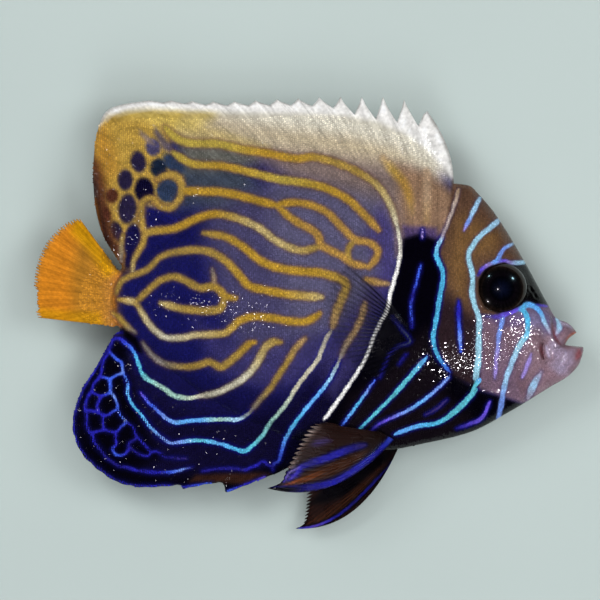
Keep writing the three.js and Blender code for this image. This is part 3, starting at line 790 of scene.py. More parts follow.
NET_LINES = StrokeSet(
    softness=0.2, taper=0.8, rim=Tone.BLUE_RIM, rim_reach=0.45, rim_strength=0.55, strokes=(
    Stroke("outer side", "DIM_BLUE ELECTRIC*6 DIM_BLUE*2 ELECTRIC", (0.35, 0.5, 0.6, 0.6, 0.5, 0.6, 0.7), """
        -45.4,-5.8 -45.8,-7.8 -46.3,-9.4 -47.3,-11.3 -47.6,-13.5 -48.1,-14.5 -49.4,-16.2 -49.8,-17.7
        -50.7,-19 -51.3,-21.2 -51,-23.4 -51,-25.6 -49.8,-27.8 -49,-29.8 -47.6,-31.4 -46.1,-33.3
        -43.5,-34.9 -41.7,-35.3 -39.1,-36"""),
    Stroke("along the lower edge", "DIM_BLUE ELECTRIC*2 BLUE SKY DIM_BLUE", (0.7, 0.7, 0.5, 0.4), """
        -39.1,-36 -35.1,-36.4 -32.1,-36.4 -30.3,-36.1 -28.3,-35.5 -26.6,-35.1"""),
    Stroke("along the front of the lower edge", "DIM_BLUE*3 ELECTRIC DIM_BLUE", (0.5, 0.6, 0.5), """
        -24.5,-36.1 -21.5,-35.6 -19.3,-35.5 -16.7,-35.5 -14.5,-35.8 -13.1,-35.2 -11.8,-34.7 -10.5,-33.9
        -9.4,-34.5 -8.3,-35.2"""),
    Stroke("top", "ELECTRIC BLUE*2 SKY", (0.6, 0.6, 0.6), """
        -45.8,-8 -45.4,-9.1 -44.1,-10.2 -42.9,-11.3 -42.6,-13.5"""),
    Stroke("first bar", "SKY BLUE*2 ELECTRIC", (0.6, 0.5, 0.5), """
        -42.6,-13.5 -43.9,-14 -45,-14.6 -45.7,-14.9 -47,-14.5 -48.1,-14.5"""),
    Stroke("inner side", "BLUE*2 SKY BLUE*2 SKY", (0.7, 0.6, 0.5, 0.4), """
        -45.7,-14.9 -45.5,-16.6 -45.4,-17.9 -44.6,-19 -43.9,-20.8 -43.9,-21.9 -43.2,-23.2 -41.9,-24.8"""),
    Stroke("second bar", "BLUE ELECTRIC*2", (0.6, 0.5, 0.5), """
        -45.4,-17.9 -46.3,-18.4 -47.6,-18.9 -48.5,-18.6 -49.8,-17.9"""),
    Stroke("middle cell", "ELECTRIC*3 BLUE", (0.6, 0.6, 0.5), """
        -47.6,-18.9 -48.3,-20.1 -48.5,-21.5 -47.6,-23 -46.1,-23.2 -44.8,-22.3 -43.9,-21.9"""),
    Stroke("third bar", "ELECTRIC", (0.7, 0.6), "-51,-22.1 -49.8,-22.3 -48.1,-22.7"),
    Stroke("lower wall", "ELECTRIC", (0.55,), "-47,-23.2 -47.2,-24.5 -47,-26.7"),
    Stroke("fourth bar", "ELECTRIC*3 BLUE", (0.6, 0.5, 0.4), """
        -50.1,-27.4 -48.5,-27 -47,-26.7 -45.4,-27 -44.1,-27 -43,-25.9 -41.9,-24.8"""),
    Stroke("lower cell", "ELECTRIC*2 DIM_BLUE ELECTRIC BLUE ELECTRIC*2", (0.4, 0.5, 0.5), """
        -41.9,-24.8 -40.4,-25.9 -39.6,-28.1 -40.4,-29.2 -41.3,-29.8 -41.7,-31.8 -43,-32.5 -44.3,-32.2
        -45,-30.9 -44.1,-29.8 -44.3,-28.5 -44.1,-27"""),
    Stroke("last cell", "ELECTRIC*3 DIM_BLUE*2", (0.5, 0.4), """
        -39.6,-28.1 -38.2,-29.4 -36.9,-30.9 -36.2,-31.8 -37.1,-32.7 -39.3,-32 -40.6,-31.1 -41.3,-30"""),
    Stroke("end", "ELECTRIC DIM_BLUE DIM_VIOLET", (0.5, 0.4), """
        -36.2,-31.8 -34.9,-31.6 -33.1,-32.7 -31.6,-33 -28,-33.2"""),
    Stroke("anal fin edge",
           "DIM_BLUE ELECTRIC DIM_BLUE ELECTRIC DIM_BLUE ELECTRIC*3 BLUE", (0.3, 0.6, 0.7, 0.6, 0.7), """
        -46.2,-7.7 -49,-12.8 -52.1,-17.9 -54,-24.4 -53.4,-28.9 -51.2,-32.8 -47.4,-36.2 -43.6,-38.5
        -39,-39.6 -33,-39.5 -29,-39.9 -26.6,-39.6 -24.1,-39.2 -22.4,-38.9"""),
    Stroke("blue under the second anal spine", "BLUE ELECTRIC*2 VIOLET", (0.8, 0.9, 0.5), """
        -18.7,-40.8 -16.7,-40.3 -14.5,-39.5 -12.3,-38.5 -9.9,-37.4"""),
))

# The fold and slit lines are painted shade laid along the relief folds; the slit is partly its own dark red.
# The grey tint beside all lip lines is painted fold shade too.
LIP_LINES = StrokeSet(
    softness=0.5, taper=0.6, rim=Tone.FOLD_GREY, rim_reach=0.5, rim_strength=0.2, strokes=(
    Stroke("inner edge of the upper lip", "LIP_RED LIP_ORANGE*2 LIP_RED", (0.5, 1.0, 1.1, 0.5), """
        59,-6.9 59.8,-5.5 61.6,-4.3 62.6,-3.9"""),
    Stroke("patch of the lower lip", "LIP_RED", (1.3, 1.5, 1.1), "62,-8.4 62,-9.2 61.6,-10.2"),
    Stroke("slit behind the lip", "FOLD_GREY SLIT_RED*2 FOLD_GREY", (0.4, 0.8, 0.8, 0.4), """
        53.4,-6.4 53.2,-7.8 53.4,-9.2 53.9,-10.6"""),
    Stroke("fold over the lip", "FOLD_GREY SLIT_RED FOLD_GREY", (0.4, 0.6, 0.7, 0.4), """
        55.8,-2.2 56,-3.8 56.5,-5.4 57.6,-6.9 58.7,-7.3"""),
    # These three pale lines are lilac skin with a painted highlight along the lit rims of the folds and of
    # the upper lip
    Stroke("pale rim of the slit", "LILAC PALE_LILAC LILAC", (0.4, 0.8, 0.4), """
        54.3,-7.2 54.7,-8.6 55.2,-10"""),
    Stroke("pale band behind the lower lip", "LILAC PALE_LILAC LILAC", (0.4, 0.9, 0.4), """
        58.9,-8.4 58.7,-10 57.7,-11.4"""),
    Stroke("pale edge of the upper lip", "LILAC PALE_LILAC LILAC", (0.4, 0.8, 0.5), """
        57.6,-1.9 59.2,-2.4 60.4,-3.2"""),
))

DORSAL_NET = tuple(Blot(tone, *size) for tone, size in (
    (Tone.VIOLET_GREY, (-35.7, 38.3, 1.7, 2.0, 15)), (Tone.DARK_VIOLET, (-39.1, 35.0, 1.75, 2.5, 14)),
    (Tone.DEEP_TEAL, (-34.4, 33.6, 1.95, 2.1)), (Tone.DARK_SLATE, (-30.9, 34.5, 1.7, 3.1, 48)),
    (Tone.DARK_VIOLET, (-42.1, 30.8, 1.75, 2.4)), (Tone.NIGHT, (-37.7, 28.4, 2.25, 3.0, 12)),
    (Tone.DARK_SLATE, (-32.3, 28.3, 2.7, 2.6, -60)), (Tone.EDGE_BROWN, (-45.1, 27.2, 1.4, 1.7)),
    (Tone.DARK_VIOLET, (-41.6, 24.2, 2.1, 3.4, -4)), (Tone.EDGE_BROWN, (-46.4, 23.0, 0.9, 1.7, 15)),
    (Tone.DARK_VIOLET, (-44.1, 19.1, 1.3, 2.2, 18)), (Tone.DEEP_NAVY, (-40.5, 16.9, 1.9, 3.9, -8)),
    (Tone.DEEP_NAVY, (-41.2, 12.4, 1.0, 2.2, -14)), (Tone.EDGE_BROWN, (-44, 14.4, 0.8, 1.6, 25))))

BODY_PATCHES = (
    # The lighter violet and lilac of the middle and upper flank are partly the coat's colour and partly a
    # painted sheen of the wet flank
    Wash("violet grey of the middle flank", Tone.VIOLET_GREY, 4.0, 0.95, """
        -24,21 -22,8 -19,0 -17,-9 -12,-14 -4,-13 4,-6 12,-4 16,4 20,14 19,25 8,30 -24,30"""),
    Wash("lilac grey of the upper flank", Tone.LILAC_GREY, 3.6, 0.95, """
        -9,25 -8,14 -5,3 -4,-3 4,-3 9,2 14,5 19,9 22,20 20,28 10,31 -9,31"""),
    Wash("violet before the white stripe", Tone.VIOLET_BLUE, 2.4, 0.75, """
        13,18 16,10 12,2 8,-2 12,-4 17,2 20,10 20,20 17,26"""),
    Wash("indigo under the middle", Tone.INDIGO, 3.2, 0.85, """
        -26,-1 -18,-6 -10,-8 2,-6 9,-4 8,-12 2,-16 -10,-18 -22,-13"""),
    Wash("slate of the upper rear flank", Tone.SLATE, 3.2, 0.9, """
        -34,30 -30,24 -20,25 -12,29 -14,36 -24,38 -34,36"""),
    Wash("grey-brown under the pale band", Tone.TAUPE, 3.4, 0.95, """
        -14,36.5 -4,31 8,28.5 17,26 21,21 27,20 34,27 26,34 12,40 -14,41"""),
    Wash("sage at the rear of the pale band", Tone.SAGE, 2.4, 0.85, """
        -29,33.5 -22,33 -12,35 -10,39 -20,42 -30,40"""),
    Wash("beige band", Tone.BEIGE, 3.0, 0.95, """
        -27,41.5 -18,39.5 -6,37.3 6,36.2 16,34.6 24,33 30,30 34,52 -30,52"""),
    Wash("cream band", Tone.CREAM_GREY, 2.4, 0.95, """
        -22,46 -12,43.8 0,42.2 10,41 20,38.2 27,34 34,30 36,54 -24,54"""),
    Wash("pale gold over the top stripe", Tone.PALE_GOLD, 1.4, 0.9, """
        -33.5,43.2 -31.2,39.8 -28,38.9 -20,38.5 -12,36.8 -9,38.4 -19,42 -30,45.2"""),
    Wash("gold rear of the dorsal fin", Tone.FIN_GOLD, 1.1, 1.0, """
        -52,51 -36,51 -28.5,47 -31,42.5 -32,38.6 -29.4,34.5 -28.8,31 -29.4,26.4 -32,24 -35,24.6
        -37.6,24.9 -37.8,21.4 -37.6,17.5 -38.8,14.6 -40,12 -40.8,10 -43,10 -50,26.2"""),
    Wash("yellow top of the dorsal fin", Tone.FIN_YELLOW, 2.0, 0.75, """
        -45,50 -43,45.4 -38,44.6 -33,41.8 -26,42.5 -22,45 -20,50"""),
    Wash("orange corner", Tone.RUSTY_ORANGE, 2.2, 0.75, """
        -50,46 -46.8,43.5 -44.6,38 -43.8,33.4 -46.2,29.7 -50,28.5"""),
    *DORSAL_NET,
    Wash("streak in the gold", Tone.TAUPE, 0.6, 0.9, """
        -38.8,42.4 -36.6,40.8 -35.2,38.8 -36.9,39.2 -38.8,41.2"""),
    Wash("second streak in the gold", Tone.VIOLET_GREY, 0.7, 0.75, """
        -35.2,43 -31.8,39 -31,36.8 -33.4,37.8 -35.6,41.6"""),
    Wash("brown rear edge", Tone.EDGE_BROWN, 1.5, 0.9, """
        -50.3,37 -48.2,35 -46.4,29 -45.6,23 -44,17.4 -42.6,12.8 -42,9.2 -45.7,11 -49.9,20.5"""),
    Wash("dark rear edge", Tone.DARK_BROWN, 0.7, 0.8, """
        -50.6,34 -48.6,30 -47.8,24 -45.8,17.4 -43,11.6 -45.7,9 -50.9,20.5"""),
    Wash("white fin margin", Tone.WHITE, 0.9, 1.0, """
        -50,40 -48.4,43 -45.8,45.5 -42,46.5 -36.5,47 -25,46.6 -13.5,46.3 -2,46.1 8.4,45.6 16,44.2
        22.2,41.4 27,38 31,33.6 33.5,31 37.1,27.1 37.1,56.1 -51.4,56.1 -51.4,41"""),
    Wash("tan beside the white stripe", Tone.FAINT_GOLD, 0.9, 0.6, """
        18.4,25.4 19.6,19.4 20,13 21.6,13 22,17 21.4,21.4 19.8,25.4"""),
    Wash("brown shoulder", Tone.SHOULDER_BROWN, 1.8, 0.95, """
        20.5,34.4 27.5,32 33.7,27.5 35.3,23.9 31.9,20.2 29.8,17 22,17.5 21.2,22.8 20.6,28.6"""),
    Wash("head", Tone.HEAD_BROWN, 0.5, 1.0, """
        33.2,30.8 39,30.8 57.8,5.5 56.9,-1.4 39.4,0 39,-16.6 32.8,-13.8 29.6,-9.4 28.6,-4.8 30.5,9.2
        29.1,13.6 31.6,20.2"""),
    Wash("ochre of cheek and nape", Tone.OCHRE, 2.4, 0.75, """
        33.7,21.5 36,23 44,18.2 43,14 38.5,13 36.6,10 35.3,2.9 33.4,1.4 31.8,12"""),
    Wash("dark foot of the cheek", Tone.CHEEK_BROWN, 2.4, 0.95, """
        28,2 32,4.6 35,1 39.6,-1.6 40.6,-17 32.8,-15.8 27.2,-9.4"""),
    Wash("violet fringe over the black patch", Tone.DIM_VIOLET, 0.9, 0.7, """
        21.5,20.2 29.3,19.7 29.6,17 22,16.6"""),
    Wash("deep blue lower flank", Tone.DEEP_NAVY, 3.6, 0.9, """
        -43,-3 -36.5,-9 -30,-13.5 -18.1,-17.5 -4.3,-18 4,-12 10,-3 15,-2 18,-12 21,-35.9 -48,-47.4"""),
    Wash("night over the belly", Tone.NIGHT, 3.2, 0.85, """
        -44,-8 -38,-16 -30,-21.5 -16,-24.5 -5,-21 3,-13 8,-8 14,-12 14,-40 -57,-46"""),
    Wash("indigo behind the foot of the white stripe", Tone.INDIGO, 2.4, 0.8, """
        4,-8 9,-3 13,-1 14.5,-6 11,-13 6,-19 3,-17"""),
    Wash("black patch and belly", Tone.BLACK, 0.8, 1.0, """
        21.6,17.2 25.6,18.4 29.3,16.8 28.9,13.3 30.2,9 29.3,3.2 28.4,-5.3 29.3,-9.9 32.8,-13.8 38.5,-17.5
        44,-18.9 49.3,-20.7 44,-29 30.2,-35.9 4.9,-35.9 1.7,-28.1 7.2,-19.8 12.3,-11 16.4,-2.8 18.7,4.1
        20.6,12"""),
    Wash("brown black of the throat", Tone.CHEEK_BROWN, 2.4, 0.4, """
        9.5,-18.6 15.3,-15.2 21,-8.3 26.8,-3.7 31.4,-18.6 38.3,-24.4 33.7,-30 21,-31.3 7.2,-26.7"""),
    Wash("muzzle", Tone.MAUVE, 0.7, 1.0, """
        39.3,-0.8 44,0 48,1.6 51,2.2 54.9,2.5 56.9,0 64.7,-0.9 65.9,-10.6 57.8,-17.9 49.6,-20.7
        43.6,-18.6 38.8,-17 39.4,-8.3"""),
    Wash("pink of the muzzle", Tone.MUZZLE_PINK, 2.0, 0.8, """
        48.4,-11 52,-4.5 56,-3 65.2,-3 64.7,-12.7 54.4,-18.9 49,-19"""),
    Wash("lilac round the mouth", Tone.LILAC, 1.0, 0.7, """
        56,-4.6 58.2,-6.4 59,-8.2 60.6,-8.2 60.8,-11.4 57.4,-13.8 56,-10 54.4,-7.6"""),
    Wash("lilac between the muzzle lines", Tone.SKY, 1.4, 0.25, "47,0.5 54.5,1 56.6,-2 54,-5 50,-3"),
    Blot(Tone.MUZZLE_VIOLET, 45.9, -1.4, 3.6, 1.6, 0, 0.6, 0.7),
    Blot(Tone.MUZZLE_BROWN, 41.0, -8.0, 1.2, 5.0, 4, 0.8, 0.6),
    Blot(Tone.MUZZLE_BROWN, 46.1, -6.6, 1.0, 4.2, 12, 0.8, 0.5),
    Blot(Tone.MUZZLE_BROWN, 52.0, -5.8, 1.5, 3.2, -12, 0.8, 0.5),
    Blot(Tone.MUZZLE_BROWN, 48.9, -15.6, 1.3, 2.6, 20, 0.8, 0.5),
    Blot(Tone.LILAC, 57.4, -12.4, 2.6, 1.2, -30, 0.8, 0.6),
    Wash("eye mask", Tone.MASK_BLACK, 0.35, 1.0, """
        45.4,12 50.2,11.6 56,2.6 54.6,2 53.2,2.2 51.6,1.9 50,2.5 46.8,1.2 43.5,0.1 40.2,1.6 38.9,4.6
        38.7,7.8 40.4,10.8"""),
    Wash("dark anal fin", Tone.BLACK, 2.4, 0.9, """
        -57.2,-29 -45.7,-33 -34.2,-37 -16.9,-36.5 -4.3,-34.4 4.9,-29 4.9,-47.4 -57.2,-47.4"""),
    Wash("dark rear of the anal fin", Tone.BLACK, 1.6, 0.9, """
        -41.8,-5.5 -41.2,-14.7 -38.8,-24 -34,-33 -45.7,-38.2 -57.2,-29 -54.9,-12.9 -46.8,-3.7"""),
    Wash("brown of the anal spines", Tone.UMBER, 0.8, 0.7, """
        -27.5,-38.6 -25.9,-37 -21.1,-36.7 -15.3,-36.5 -12,-36.4 -8.9,-36.6 -10.5,-38 -14.5,-39.2
        -18.4,-38.9 -22.4,-38.9"""),
    Wash("dark between the tail and the anal fin", Tone.BLACK, 0.6, 0.95, """
        -43,-1.8 -41.4,-3.8 -39.4,-5.6 -38,-9 -41,-9 -45,-5 -45,-3"""),
    Wash("tail stalk", Tone.FLESH, 0.6, 1.0, """
        -43,9.4 -43,7.4 -44,5.4 -44.3,2.7 -43.9,-0.4 -42.2,-2.8 -45,-3.6 -48.4,-2 -48.6,8.6 -46.6,11.4"""),
    Wash("red of the stalk", Tone.RUST, 0.6, 0.55, "-45.2,4.5 -43.9,4.5 -43.7,2.1 -44.3,0.8 -45.3,2.1"),
    Wash("tail fin", Tone.ORANGE, 1.2, 1.0, """
        -46.6,12 -47.4,5.5 -47,-1.8 -48.4,-4.1 -66.4,-4.1 -66.4,26.2 -49.4,26.2"""),
    Wash("shade of the tail root", Tone.RUSTY_ORANGE, 2.4, 0.7, "-54,-5 -54.4,9 -52.6,19 -44,13 -44,-5"),
    Wash("yellow edge of the tail fin", Tone.YELLOW_ORANGE, 1.4, 0.85, """
        -54,23 -50.9,20.8 -45.6,11.9 -43.9,9.6 -46.6,8.6 -50.6,14.6 -54.6,18.6"""),
    Wash("yellow foot of the tail fin", Tone.YELLOW_ORANGE, 1.0, 0.6, """
        -63,1.4 -54,0.6 -48,0.4 -47,-3 -63.4,-1.4"""),
    Wash("tail fin margin", Tone.PALE_ORANGE, 0.8, 0.8, """
        -66.4,26.2 -51.2,24.5 -52.5,21.9 -55.3,20.6 -57.9,18.3 -60.3,15.3 -62,11 -62.7,6 -62.7,2.4
        -61.8,-1.4 -66.4,-6"""),
)

RIGHT_BELLY_PATTERN = Pattern(Tone.RAY_BROWN, (
    Wash("dark rear", Tone.DARK_BROWN, 1.6, 0.7, """
        -4.5,-34.7 -2.5,-30.4 0,-25.7 2.4,-24 7.8,-24 13.9,-26.5 11.9,-29 5.7,-30.9 -0.4,-33.8"""),
    # Pale grey-pink at the ray tips, partly a painted highlight on the ends of the rays
    Wash("ray tips with painted highlight", Tone.GREY_PINK, 0.9, 0.75, """
        -6.4,-36 -4,-30.6 0.4,-25.2 2.6,-25.6 -1.6,-30.6 -3.6,-35"""),
    Wash("brown between the bands", Tone.UMBER, 0.8, 0.85, """
        -6,-38.9 -2.1,-37.2 3.7,-34.7 9.8,-32.3 13.5,-31 12.3,-33.1 7.8,-35.8 3.7,-37.6 -1.5,-38.8"""),
    Wash("orange streak", Tone.RUST, 0.6, 0.8, "-6,-39.1 -4.1,-38 -1.5,-37.4 3.6,-35.9 1,-37.6 -3.5,-39.2"),
    Wash("violet tip", Tone.DIM_VIOLET, 0.6, 0.8, """
        -5.6,-38.4 -4.5,-36.4 -2.5,-35.3 -0.8,-34.9 -1.9,-36.8 -3.9,-38"""),
    Wash("violet patch", Tone.DIM_VIOLET, 0.8, 0.8, """
        0.4,-30 1.6,-28.8 4.1,-28.4 5.3,-29 3.7,-29.8 1.6,-30.3"""),
), (StrokeSet(softness=0.2, taper=1.2, rim=Tone.BLUE_RIM, rim_reach=0.5, rim_strength=0.8, strokes=(
    Stroke("leading edge", "BLUE ELECTRIC*4 DIM_BLUE BLACK*2", (0.9, 1.1, 1.2, 1.1, 1.0), """
        19.7,-27.6 16,-31.4 11.9,-34.7 7.8,-37.4 4.7,-38.8 -0.4,-39.7 -4.5,-40.1 -9.6,-40"""),
    Stroke("second band", "DIM_VIOLET DIM_BLUE ELECTRIC*2 DIM_BLUE ELECTRIC VIOLET", (0.8, 1.3, 1.2, 0.4), """
        12.9,-30 9.8,-30.8 6.8,-31.9 3.7,-33.1 0.6,-34.1 -1.5,-35 -2.9,-36.6 -4.5,-37.8"""),
    Stroke("pale edge", "VIOLET SOFT_VIOLET VIOLET", (0.25, 0.3), """
        -5.6,-38.3 -4.7,-36.6 -2.7,-35.3 -1,-34.7"""),
)),))

LEFT_BELLY_PATTERN = Pattern(Tone.DARK_BROWN, (
    Wash("black between the bands", Tone.BLACK, 1.0, 0.95, """
        3.7,-39.7 9.8,-35.6 16,-32 20,-31 16.9,-35.4 9.8,-41.4 4.3,-43.7 0.4,-44"""),
    Wash("rust beside the edge", Tone.UMBER, 0.7, 0.8, """
        -0.8,-49 1.6,-47 6.8,-43.6 11.9,-39.2 16,-35.6 17.6,-34.7 15,-38.2 10.9,-42.6 6.8,-46 2.7,-48.4"""),
), (StrokeSet(softness=0.2, taper=1.2, rim=Tone.BLACK, rim_reach=0.4, rim_strength=0.8, strokes=(
    Stroke("leading edge",
           "DIM_BLUE*2 ELECTRIC DIM_BLUE ELECTRIC VIOLET ELECTRIC", (0.3, 0.45, 0.6, 0.6, 0.5), """
        20,-33.2 17.6,-36.2 14.4,-39.6 11,-43.1 8.1,-45.6 4.9,-47.7 1.4,-49.1 -3,-49.9"""),
)),))

COAT_PATTERN = Pattern(Tone.NAVY, BODY_PATCHES, (
    GOLD_LINES, SHOULDER_LINES, WHITE_LINES, BLUE_LINES, FACE_LINES, NET_LINES, LIP_LINES))


def coordinates(mesh: bmesh.types.BMesh) -> Array:
    """Returns the place of every vertex, one row each."""
    return np.array([vertex.co for vertex in mesh.verts])


def move(mesh: bmesh.types.BMesh, places: Array) -> None:
    """Puts every vertex at its own row of places."""
    for vertex, place in zip(mesh.verts, places):
        vertex.co = place


def leaf(columns: int, rows: int, place: Placer) -> bmesh.types.BMesh:
    """Makes a closed shell, the same on both sides of the level plane through 0.

    Args:
        columns: Faces across.
        rows: Faces along.
        place: Takes u and v from 0 to 1 and gives x, y and half thickness, 0 along the whole border.

    Returns:
        A new mesh with its faces outwards.
    """
    mesh = bmesh.new()
    bmesh.ops.create_grid(mesh, x_segments=columns, y_segments=rows, size=0.5)
    u, v = np.clip(coordinates(mesh)[:, :2].T + 0.5, 0, 1)
    move(mesh, np.stack(place(u, v), 1))
    bmesh.ops.mirror(mesh, geom=[*mesh.verts, *mesh.edges, *mesh.faces], axis="Z", merge_dist=1e-4)
    bmesh.ops.remove_doubles(mesh, verts=mesh.verts, dist=1e-4)
    bmesh.ops.dissolve_degenerate(mesh, edges=mesh.edges, dist=1e-5)
    bmesh.ops.recalc_face_normals(mesh, faces=mesh.faces)
    return mesh


def border(columns: int, rows: int, u: Array, v: Array) -> Array:
    """Thins a leaf towards its border.

    Args:
        columns: Its faces across.
        rows: Its faces along.
        u: Share of the way across.
        v: Share of the way along.

    Returns:
        0 on the border, rising to 1 two faces in from the sides and the margin.
    """
    sides = np.minimum(u, 1 - u) * columns
    return np.interp(sides, (0, 1, 2), (0, 0.75, 1)) * np.interp(
        np.minimum((1 - v) * rows, v * rows * 2), (0, 1, 2), (0, 0.75, 1))


@dataclass(frozen=True)
class DorsalFin:
    """The whole back fin: fourteen spines with notched skin between them, then soft rays."""

    spines: int = 14
    root_front: float = 33.3
    root_pitch: float = 4.08
    tip_front: float = 26.8
    tip_pitch: float = 4.88
    root_rear: float = -43.0
    root_depth: float = 1.6
    margin: Profile = Profile("""
        -42.9,48.3 -35.3,49.3 -21,49 -2.6,49.7 6.6,50.1 16.4,50.1 21.7,49.5 26.8,47.4""")
    notch: Profile = Profile("0,4.8 1,5.5 2,5.1 3,4.1 4,2.6 6,1.5 13,0.4")
    notch_place: float = 0.34
    rear_margin: Points = path("""
        -36.6,49.2 -42.9,48.3 -46.6,46.7 -48.4,43 -49.4,37.3 -49.6,30.4 -48.9,23.4 -46.9,17.2 -43,11.4""")
    spine_columns: int = 12
    rear_columns: int = 90
    rows: int = 32
    soft_rays: int = 20
    root_half: float = 0.95
    edge_half: float = 0.17
    spine_ridge: float = 0.2
    ray_ridge: float = 0.05

    @property
    def columns(self) -> int:
        """Faces across the whole fin."""
        return (self.spines - 1) * self.spine_columns + self.rear_columns

    def lines(self, u: Array) -> tuple[Array, Array, Array, Array]:
        """Works out the lines that carry the fin's skin from root to margin.

        Args:
            u: Share of the way from the first spine to the last ray.

        Returns:
            Each line's root x, its tip, its spine number, and how near a spine or ray it lies.
        """
        last = self.spines - 1
        column = u * self.columns
        number = np.minimum(column / self.spine_columns, last)
        rear = np.clip((column - last * self.spine_columns) / self.rear_columns, 0, 1)
        spine = np.minimum(np.floor(number + 1e-6), last)
        part = np.maximum(number - spine, 0)
        down = np.where(part < self.notch_place, part / self.notch_place,
                        (1 - part) / (1 - self.notch_place)) ** 0.8
        x = self.tip_front - self.tip_pitch * number
        tip = np.stack([x, self.margin(x) - np.where(part > 0, self.notch(spine) * down, 0)], 1)
        turned = Spline(self.rear_margin).at(rear)
        tip = np.where((rear > 0)[:, None], turned, tip)
        front_root = self.root_front - self.root_pitch * number
        root = front_root + (self.root_rear - front_root) * np.where(rear > 0, rear, 0)
        spiny = bell(np.minimum(part, 1 - part), 0.09) * (rear <= 0)
        soft = 0.5 + 0.5 * np.cos(2 * np.pi * self.soft_rays * rear)
        return root, tip, number, np.where(rear > 0, soft * self.ray_ridge / self.spine_ridge, spiny)

    def place(self, u: Array, v: Array) -> tuple[Array, Array, Array]:
        """Places the fin's skin for the shell maker.

        Args:
            u: Share of the way across.
            v: Share of the way along.

        Returns:
            x, y and half of the thickness at each place.
        """
        root_x, tip, number, ray = self.lines(u)
        root_y = BODY.back(root_x) - self.root_depth
        length = np.hypot(tip[:, 0] - root_x, tip[:, 1] - root_y)
        reach = v * (1 - COAT / np.maximum(length, 1))
        bow = (0.2 + 1.8 * np.exp(-4 * number)) * 4 * v * (1 - v)
        x = root_x + (tip[:, 0] - root_x) * reach + bow
        y = root_y + (tip[:, 1] - root_y) * reach
        half = self.edge_half + (self.root_half - self.edge_half) * (1 - v) ** 1.6
        half = half + self.spine_ridge * ray * (1 - 0.6 * v) * ease(v, 0.08, 0.2)
        return x, y, half * border(self.columns, self.rows, u, v)

    def build(self) -> bmesh.types.BMesh:
        """Makes the fin as a closed shell."""
        return leaf(self.columns, self.rows, self.place)


@dataclass(frozen=True)
class FanFin:
    """A fin whose rays run from a root line to a margin line, with its membrane cut in between ray tips."""

    root: Points
    margin: Points
    columns: int
    rows: int
    rays: int
    root_half: float
    edge_half: float
    ridge: float
    fringe: float
    bow: float = 0.0

    def place(self, u: Array, v: Array) -> tuple[Array, Array, Array]:
        """Places the fin's skin for the shell maker.

        Args:
            u: Share of the way across.
            v: Share of the way along.

        Returns:
            x, y and half of the thickness at each place.
        """
        root = Spline(self.root).at(u)
        tip = Spline(self.margin).at(u)
        length = np.maximum(np.hypot(*(tip - root).T), 1)
        between = 0.5 - 0.5 * np.cos(2 * np.pi * self.rays * u)
        uneven = 0.75 + 0.25 * np.sin(self.rays * u * 2.1 + 1)
        cut = (COAT + self.fringe * between**1.5 * uneven) / length
        reach = v * (1 - cut * ease(v, 0.55, 1))
        x, y = (root + (tip - root) * reach[:, None]).T
        half = self.edge_half + (self.root_half - self.edge_half) * (1 - v) ** 1.5
        half = half + self.ridge * (1 - between) ** 2 * (1 - 0.5 * v) * ease(v, 0.1, 0.25)
        return x + self.bow * 4 * v * (1 - v), y, half * border(self.columns, self.rows, u, v)

    def build(self) -> bmesh.types.BMesh:
        """Makes the fin as a closed shell."""
        return leaf(self.columns, self.rows, self.place)


def anal_fin() -> FanFin:
    """Returns the fin under the tail: short spines in front, a broad rounded lobe behind."""
    x = np.linspace(-1, -43.2, 24)
    root = tuple(zip(x, BODY.belly(x) + 1.6))
    return FanFin(root=root, margin=path("""
        -2,-32.4 -4.9,-35.6 -11.4,-38.4 -16.4,-40.3 -19.1,-41.3 -19.3,-40.2 -19.9,-39.1 -22.8,-39.2
        -26.4,-39.9 -29,-40.4 -29.4,-39.6 -33,-39.8 -39,-40 -43.8,-38.9 -47.7,-36.6 -51.6,-33.1 -53.8,-29
        -54.4,-24.4 -52.4,-17.7 -49.2,-12.6 -46.4,-7.6 -44.6,-4.6"""),
        columns=180, rows=28, rays=25, root_half=0.95, edge_half=0.17, ridge=0.07, fringe=0.25, bow=0.8)


def tail_fin() -> FanFin:
    """Returns the tail fin: a short fan whose ray tips stand free."""
    return FanFin(
        root=path("-43.7,9.9 -42.2,6 -42,3.4 -42.2,0.8 -43.9,-3"),
        margin=path("-52.9,22.3 -55.8,21.1 -58.4,18.9 -60.9,15.8 -62.7,11.3 -63.4,6 -63.4,2.4 -62.4,-0.8"),
        columns=200, rows=26, rays=40, root_half=1.0, edge_half=0.15, ridge=0.08, fringe=1.2)


@dataclass(frozen=True)
class BreastFinForm:
    """Size and place of the clear fin behind each gill cover."""

    root: Points = ((22.9, -2.8), (23, -7.2))
    margin: Points = path("9.4,12.2 6.2,9.6 4.2,5.4 3.6,0.4 4.6,-4.6 7.6,-9.4 11.6,-13 15.6,-15")
    half: float = 0.07
    ridge: float = 0.07
    stand: float = 0.46  # over the solid body
    left_height: float = 0.28  # mid height of the fin that lies under the fish
    recess: float = 0.66  # height of the flank over that fin
    rays: int = 23

    def region(self) -> Wash:
        """Returns the area that the folded fin covers."""
        ring = " ".join(f"{x},{y}" for x, y in (*self.margin, *self.root[::-1]))
        return Wash("breast fin", Tone.MEMBRANE_GREY, 0.5, 1.0, ring)


BREAST_FIN = BreastFinForm()


def rest_on_floor(places: Array, floor: float) -> Array:
    """Presses the lower flank flat where the fish lies on the floor and on its breast fin.

    Args:
        places: The place of each vertex in millimetres.
        floor: The lowest height that the flank may have.

    Returns:
        The places, none lower than the floor, or than the breast fin where it lies under the flank.
    """
    low = places[:, 2] < MIDPLANE - 6
    over_fin = BREAST_FIN.region().cover(places[low, :2]) / BREAST_FIN.region().strength
    least = floor + (BREAST_FIN.recess - FLOOR_GAP) * np.minimum(over_fin * 1.6, 1)
    pressed = places.copy()
    pressed[low, 2] = np.maximum(places[low, 2], least)
    return pressed


